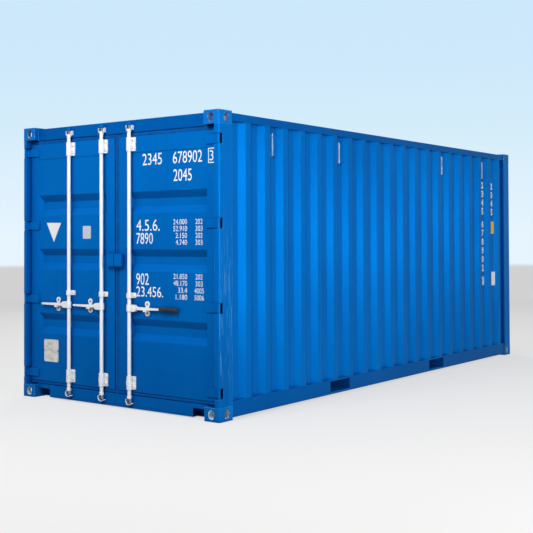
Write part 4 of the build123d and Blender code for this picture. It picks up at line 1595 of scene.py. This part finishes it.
@dataclass(frozen=True)
class Ground(Finish):
    """Pale even floor that takes the shadow near the container and meets the sky far off."""

    near: Colour = (0.9, 0.895, 0.885)
    shaded: Colour = (0.27, 0.27, 0.27)
    lit: Colour = (0.86, 0.86, 0.858)
    far: Colour = (0.64, 0.64, 0.64)
    sky: Colour = (0.8, 0.91, 1.0)
    far_reach: Pair = (2.0, 14.0)
    sky_reach: Pair = (40.0, 50.0)
    even_reach: Pair = (5.0, 16.0)
    even_near: float = 0.7

    def shade(self, board: Board) -> Signal:
        """A matt floor that fades to an even tone with distance.

        Args:
            board: the material's node tree.

        Returns:
            The shader.
        """
        place = board.place()
        away = board.add("ShaderNodeVectorMath", {"operation": "LENGTH"}, {0: place}, "Value")
        seen = board.add("ShaderNodeLightPath", output="Is Camera Ray")
        matt = board.add("ShaderNodeBsdfDiffuse", {}, {"Color": board.mix(seen, self.shaded, self.near)})
        tone = board.mix(board.spread(away, *self.far_reach), self.lit, self.far)
        tone = board.mix(board.spread(away, *self.sky_reach), tone, self.sky)
        even = board.add("ShaderNodeEmission", {}, {"Color": tone, "Strength": 1.0})
        glint = board.add("ShaderNodeLightPath", output="Is Glossy Ray")
        through = board.add("ShaderNodeLightPath", output="Is Transmission Ray")
        even_share = self.even_near + (1 - self.even_near) * board.spread(away, *self.even_reach)
        share = even_share * (seen + glint + through)
        return board.add("ShaderNodeMixShader", {}, {0: share, 1: matt, 2: even})


@dataclass
class Studio:
    """Floor, sky and lamps."""

    floor_reach: float = 900.0
    floor_drop: float = 0.001
    ambient: float = 0.17
    tones: tuple[tuple[float, Colour], ...] = (
        (0.0, (0.8, 0.91, 1.0)), (0.1, (0.67, 0.85, 0.96)),
        (0.17, (0.617, 0.812, 0.97)), (1.0, (0.5, 0.74, 0.95)),
    )
    lamps: tuple[Softbox, ...] = (
        Softbox("door_lamp", (-8.2, -1.0, 6.2), (-3.0, 0.0, 2.3), (3.2, 3.2), 440.0),
        Softbox("side_lamp", (0.6, -9.6, 1.5), (0.6, -1.2, 1.4), (8.4, 2.1), 222.0),
        Softbox("corner_lamp", (-4.5, -7.0, 2.2), (-2.6, -1.2, 1.5), (2.2, 3.0), 172.0),
        Softbox("top_lamp", (1.0, 2.0, 12.0), (0.0, 0.0, 2.5), (9.0, 9.0), 420.0),
        Softbox("far_lamp", (8.5, 7.5, 5.0), (0.0, 0.4, 1.2), (4.5, 3.5), 420.0),
    )

    def floor(self) -> None:
        """The pale floor."""
        reach = self.floor_reach
        mesh = bpy.data.meshes.new("floor")
        corners = [(-reach, -reach, 0), (reach, -reach, 0), (reach, reach, 0), (-reach, reach, 0)]
        mesh.from_pydata(corners, [], [(0, 1, 2, 3)])
        mesh.materials.append(Ground("pale_floor").material())
        made = bpy.data.objects.new("floor", mesh)
        made.location.z = -self.floor_drop
        bpy.context.scene.collection.objects.link(made)

    def sky(self) -> None:
        """A pale sky that the camera and the gloss see, over a plain soft light."""
        world = bpy.data.worlds.new("sky")
        world.use_nodes = True
        bpy.context.scene.world = world
        board = Board(world.node_tree)
        way = board.add("ShaderNodeTexCoord", output="Generated")
        _, _, rise = board.parts(way)
        tone = board.add("ShaderNodeValToRGB", {"stops": self.tones}, {0: rise})
        seen = board.add("ShaderNodeBackground", {}, {"Color": tone, "Strength": 1.0})
        soft = board.add("ShaderNodeBackground", {}, {"Color": (1.0, 1.0, 1.0), "Strength": self.ambient})
        camera = board.add("ShaderNodeLightPath", output="Is Camera Ray")
        glint = board.add("ShaderNodeLightPath", output="Is Glossy Ray")
        through = board.add("ShaderNodeLightPath", output="Is Transmission Ray")
        both = board.add("ShaderNodeMixShader", {}, {0: camera + glint + through, 1: soft, 2: seen})
        board.add("ShaderNodeOutputWorld", {}, {"Surface": both})

    def build(self) -> None:
        """Sets the studio up."""
        self.floor()
        self.sky()
        for lamp in self.lamps:
            lamp.build()
        bpy.context.scene.view_settings.view_transform = "Standard"


@dataclass
class PhotoCamera:
    """The photograph's own view."""

    place: Point = (-9.4612, -6.3740, 1.5253)
    yaw: float = 37.476
    pitch: float = 1.0576
    roll: float = -0.1864
    lens: float = 67.53
    sensor: float = 36.0
    shift: Pair = (0.0488, -0.0890)
    sight: float = 3000.0

    def build(self) -> None:
        """Adds the camera and makes it the scene's."""
        yaw, pitch, roll = (math.radians(turn) for turn in (self.yaw, self.pitch, self.roll))
        ahead = Vector((math.cos(pitch) * math.cos(yaw), math.cos(pitch) * math.sin(yaw), math.sin(pitch)))
        level = ahead.cross(Z_AXIS).normalized()
        upright = level.cross(ahead)
        right = level * math.cos(roll) + upright * math.sin(roll)
        up = upright * math.cos(roll) - level * math.sin(roll)
        data = bpy.data.cameras.new("camera")
        data.lens, data.sensor_width, data.sensor_fit = self.lens, self.sensor, "HORIZONTAL"
        data.shift_x, data.shift_y = self.shift
        data.clip_end = self.sight
        made = bpy.data.objects.new("camera", data)
        turn = Matrix((right, up, -ahead)).transposed().to_4x4()
        made.matrix_world = Matrix.Translation(self.place) @ turn
        bpy.context.scene.collection.objects.link(made)
        bpy.context.scene.camera = made


def main() -> None:
    """Builds the container's classes in order, then the studio."""
    logging.basicConfig(level=logging.INFO, format="%(message)s")
    assemblies = (
        Plating(),
        SideWall(Side.LEFT),
        SideWall(Side.RIGHT),
        EndFrame(),
        Underframe(),
        DoorLeaf(Side.LEFT, rods=(OUTER_ROD, INNER_ROD), bows=(INNER_ROD,), retainers=(0.772, 0.342)),
        DoorPlates(),
        DoorLeaf(Side.RIGHT, rods=(-INNER_ROD,), bows=(-INNER_ROD,), retainers=(-0.370,)),
        DoorNumbers(),
        LockGear(),
        Studio(),
        PhotoCamera(),
    )
    for assembly in assemblies:
        log.info("building %s", type(assembly).__name__)
        assembly.build()


if __name__ == "__main__":
    main()
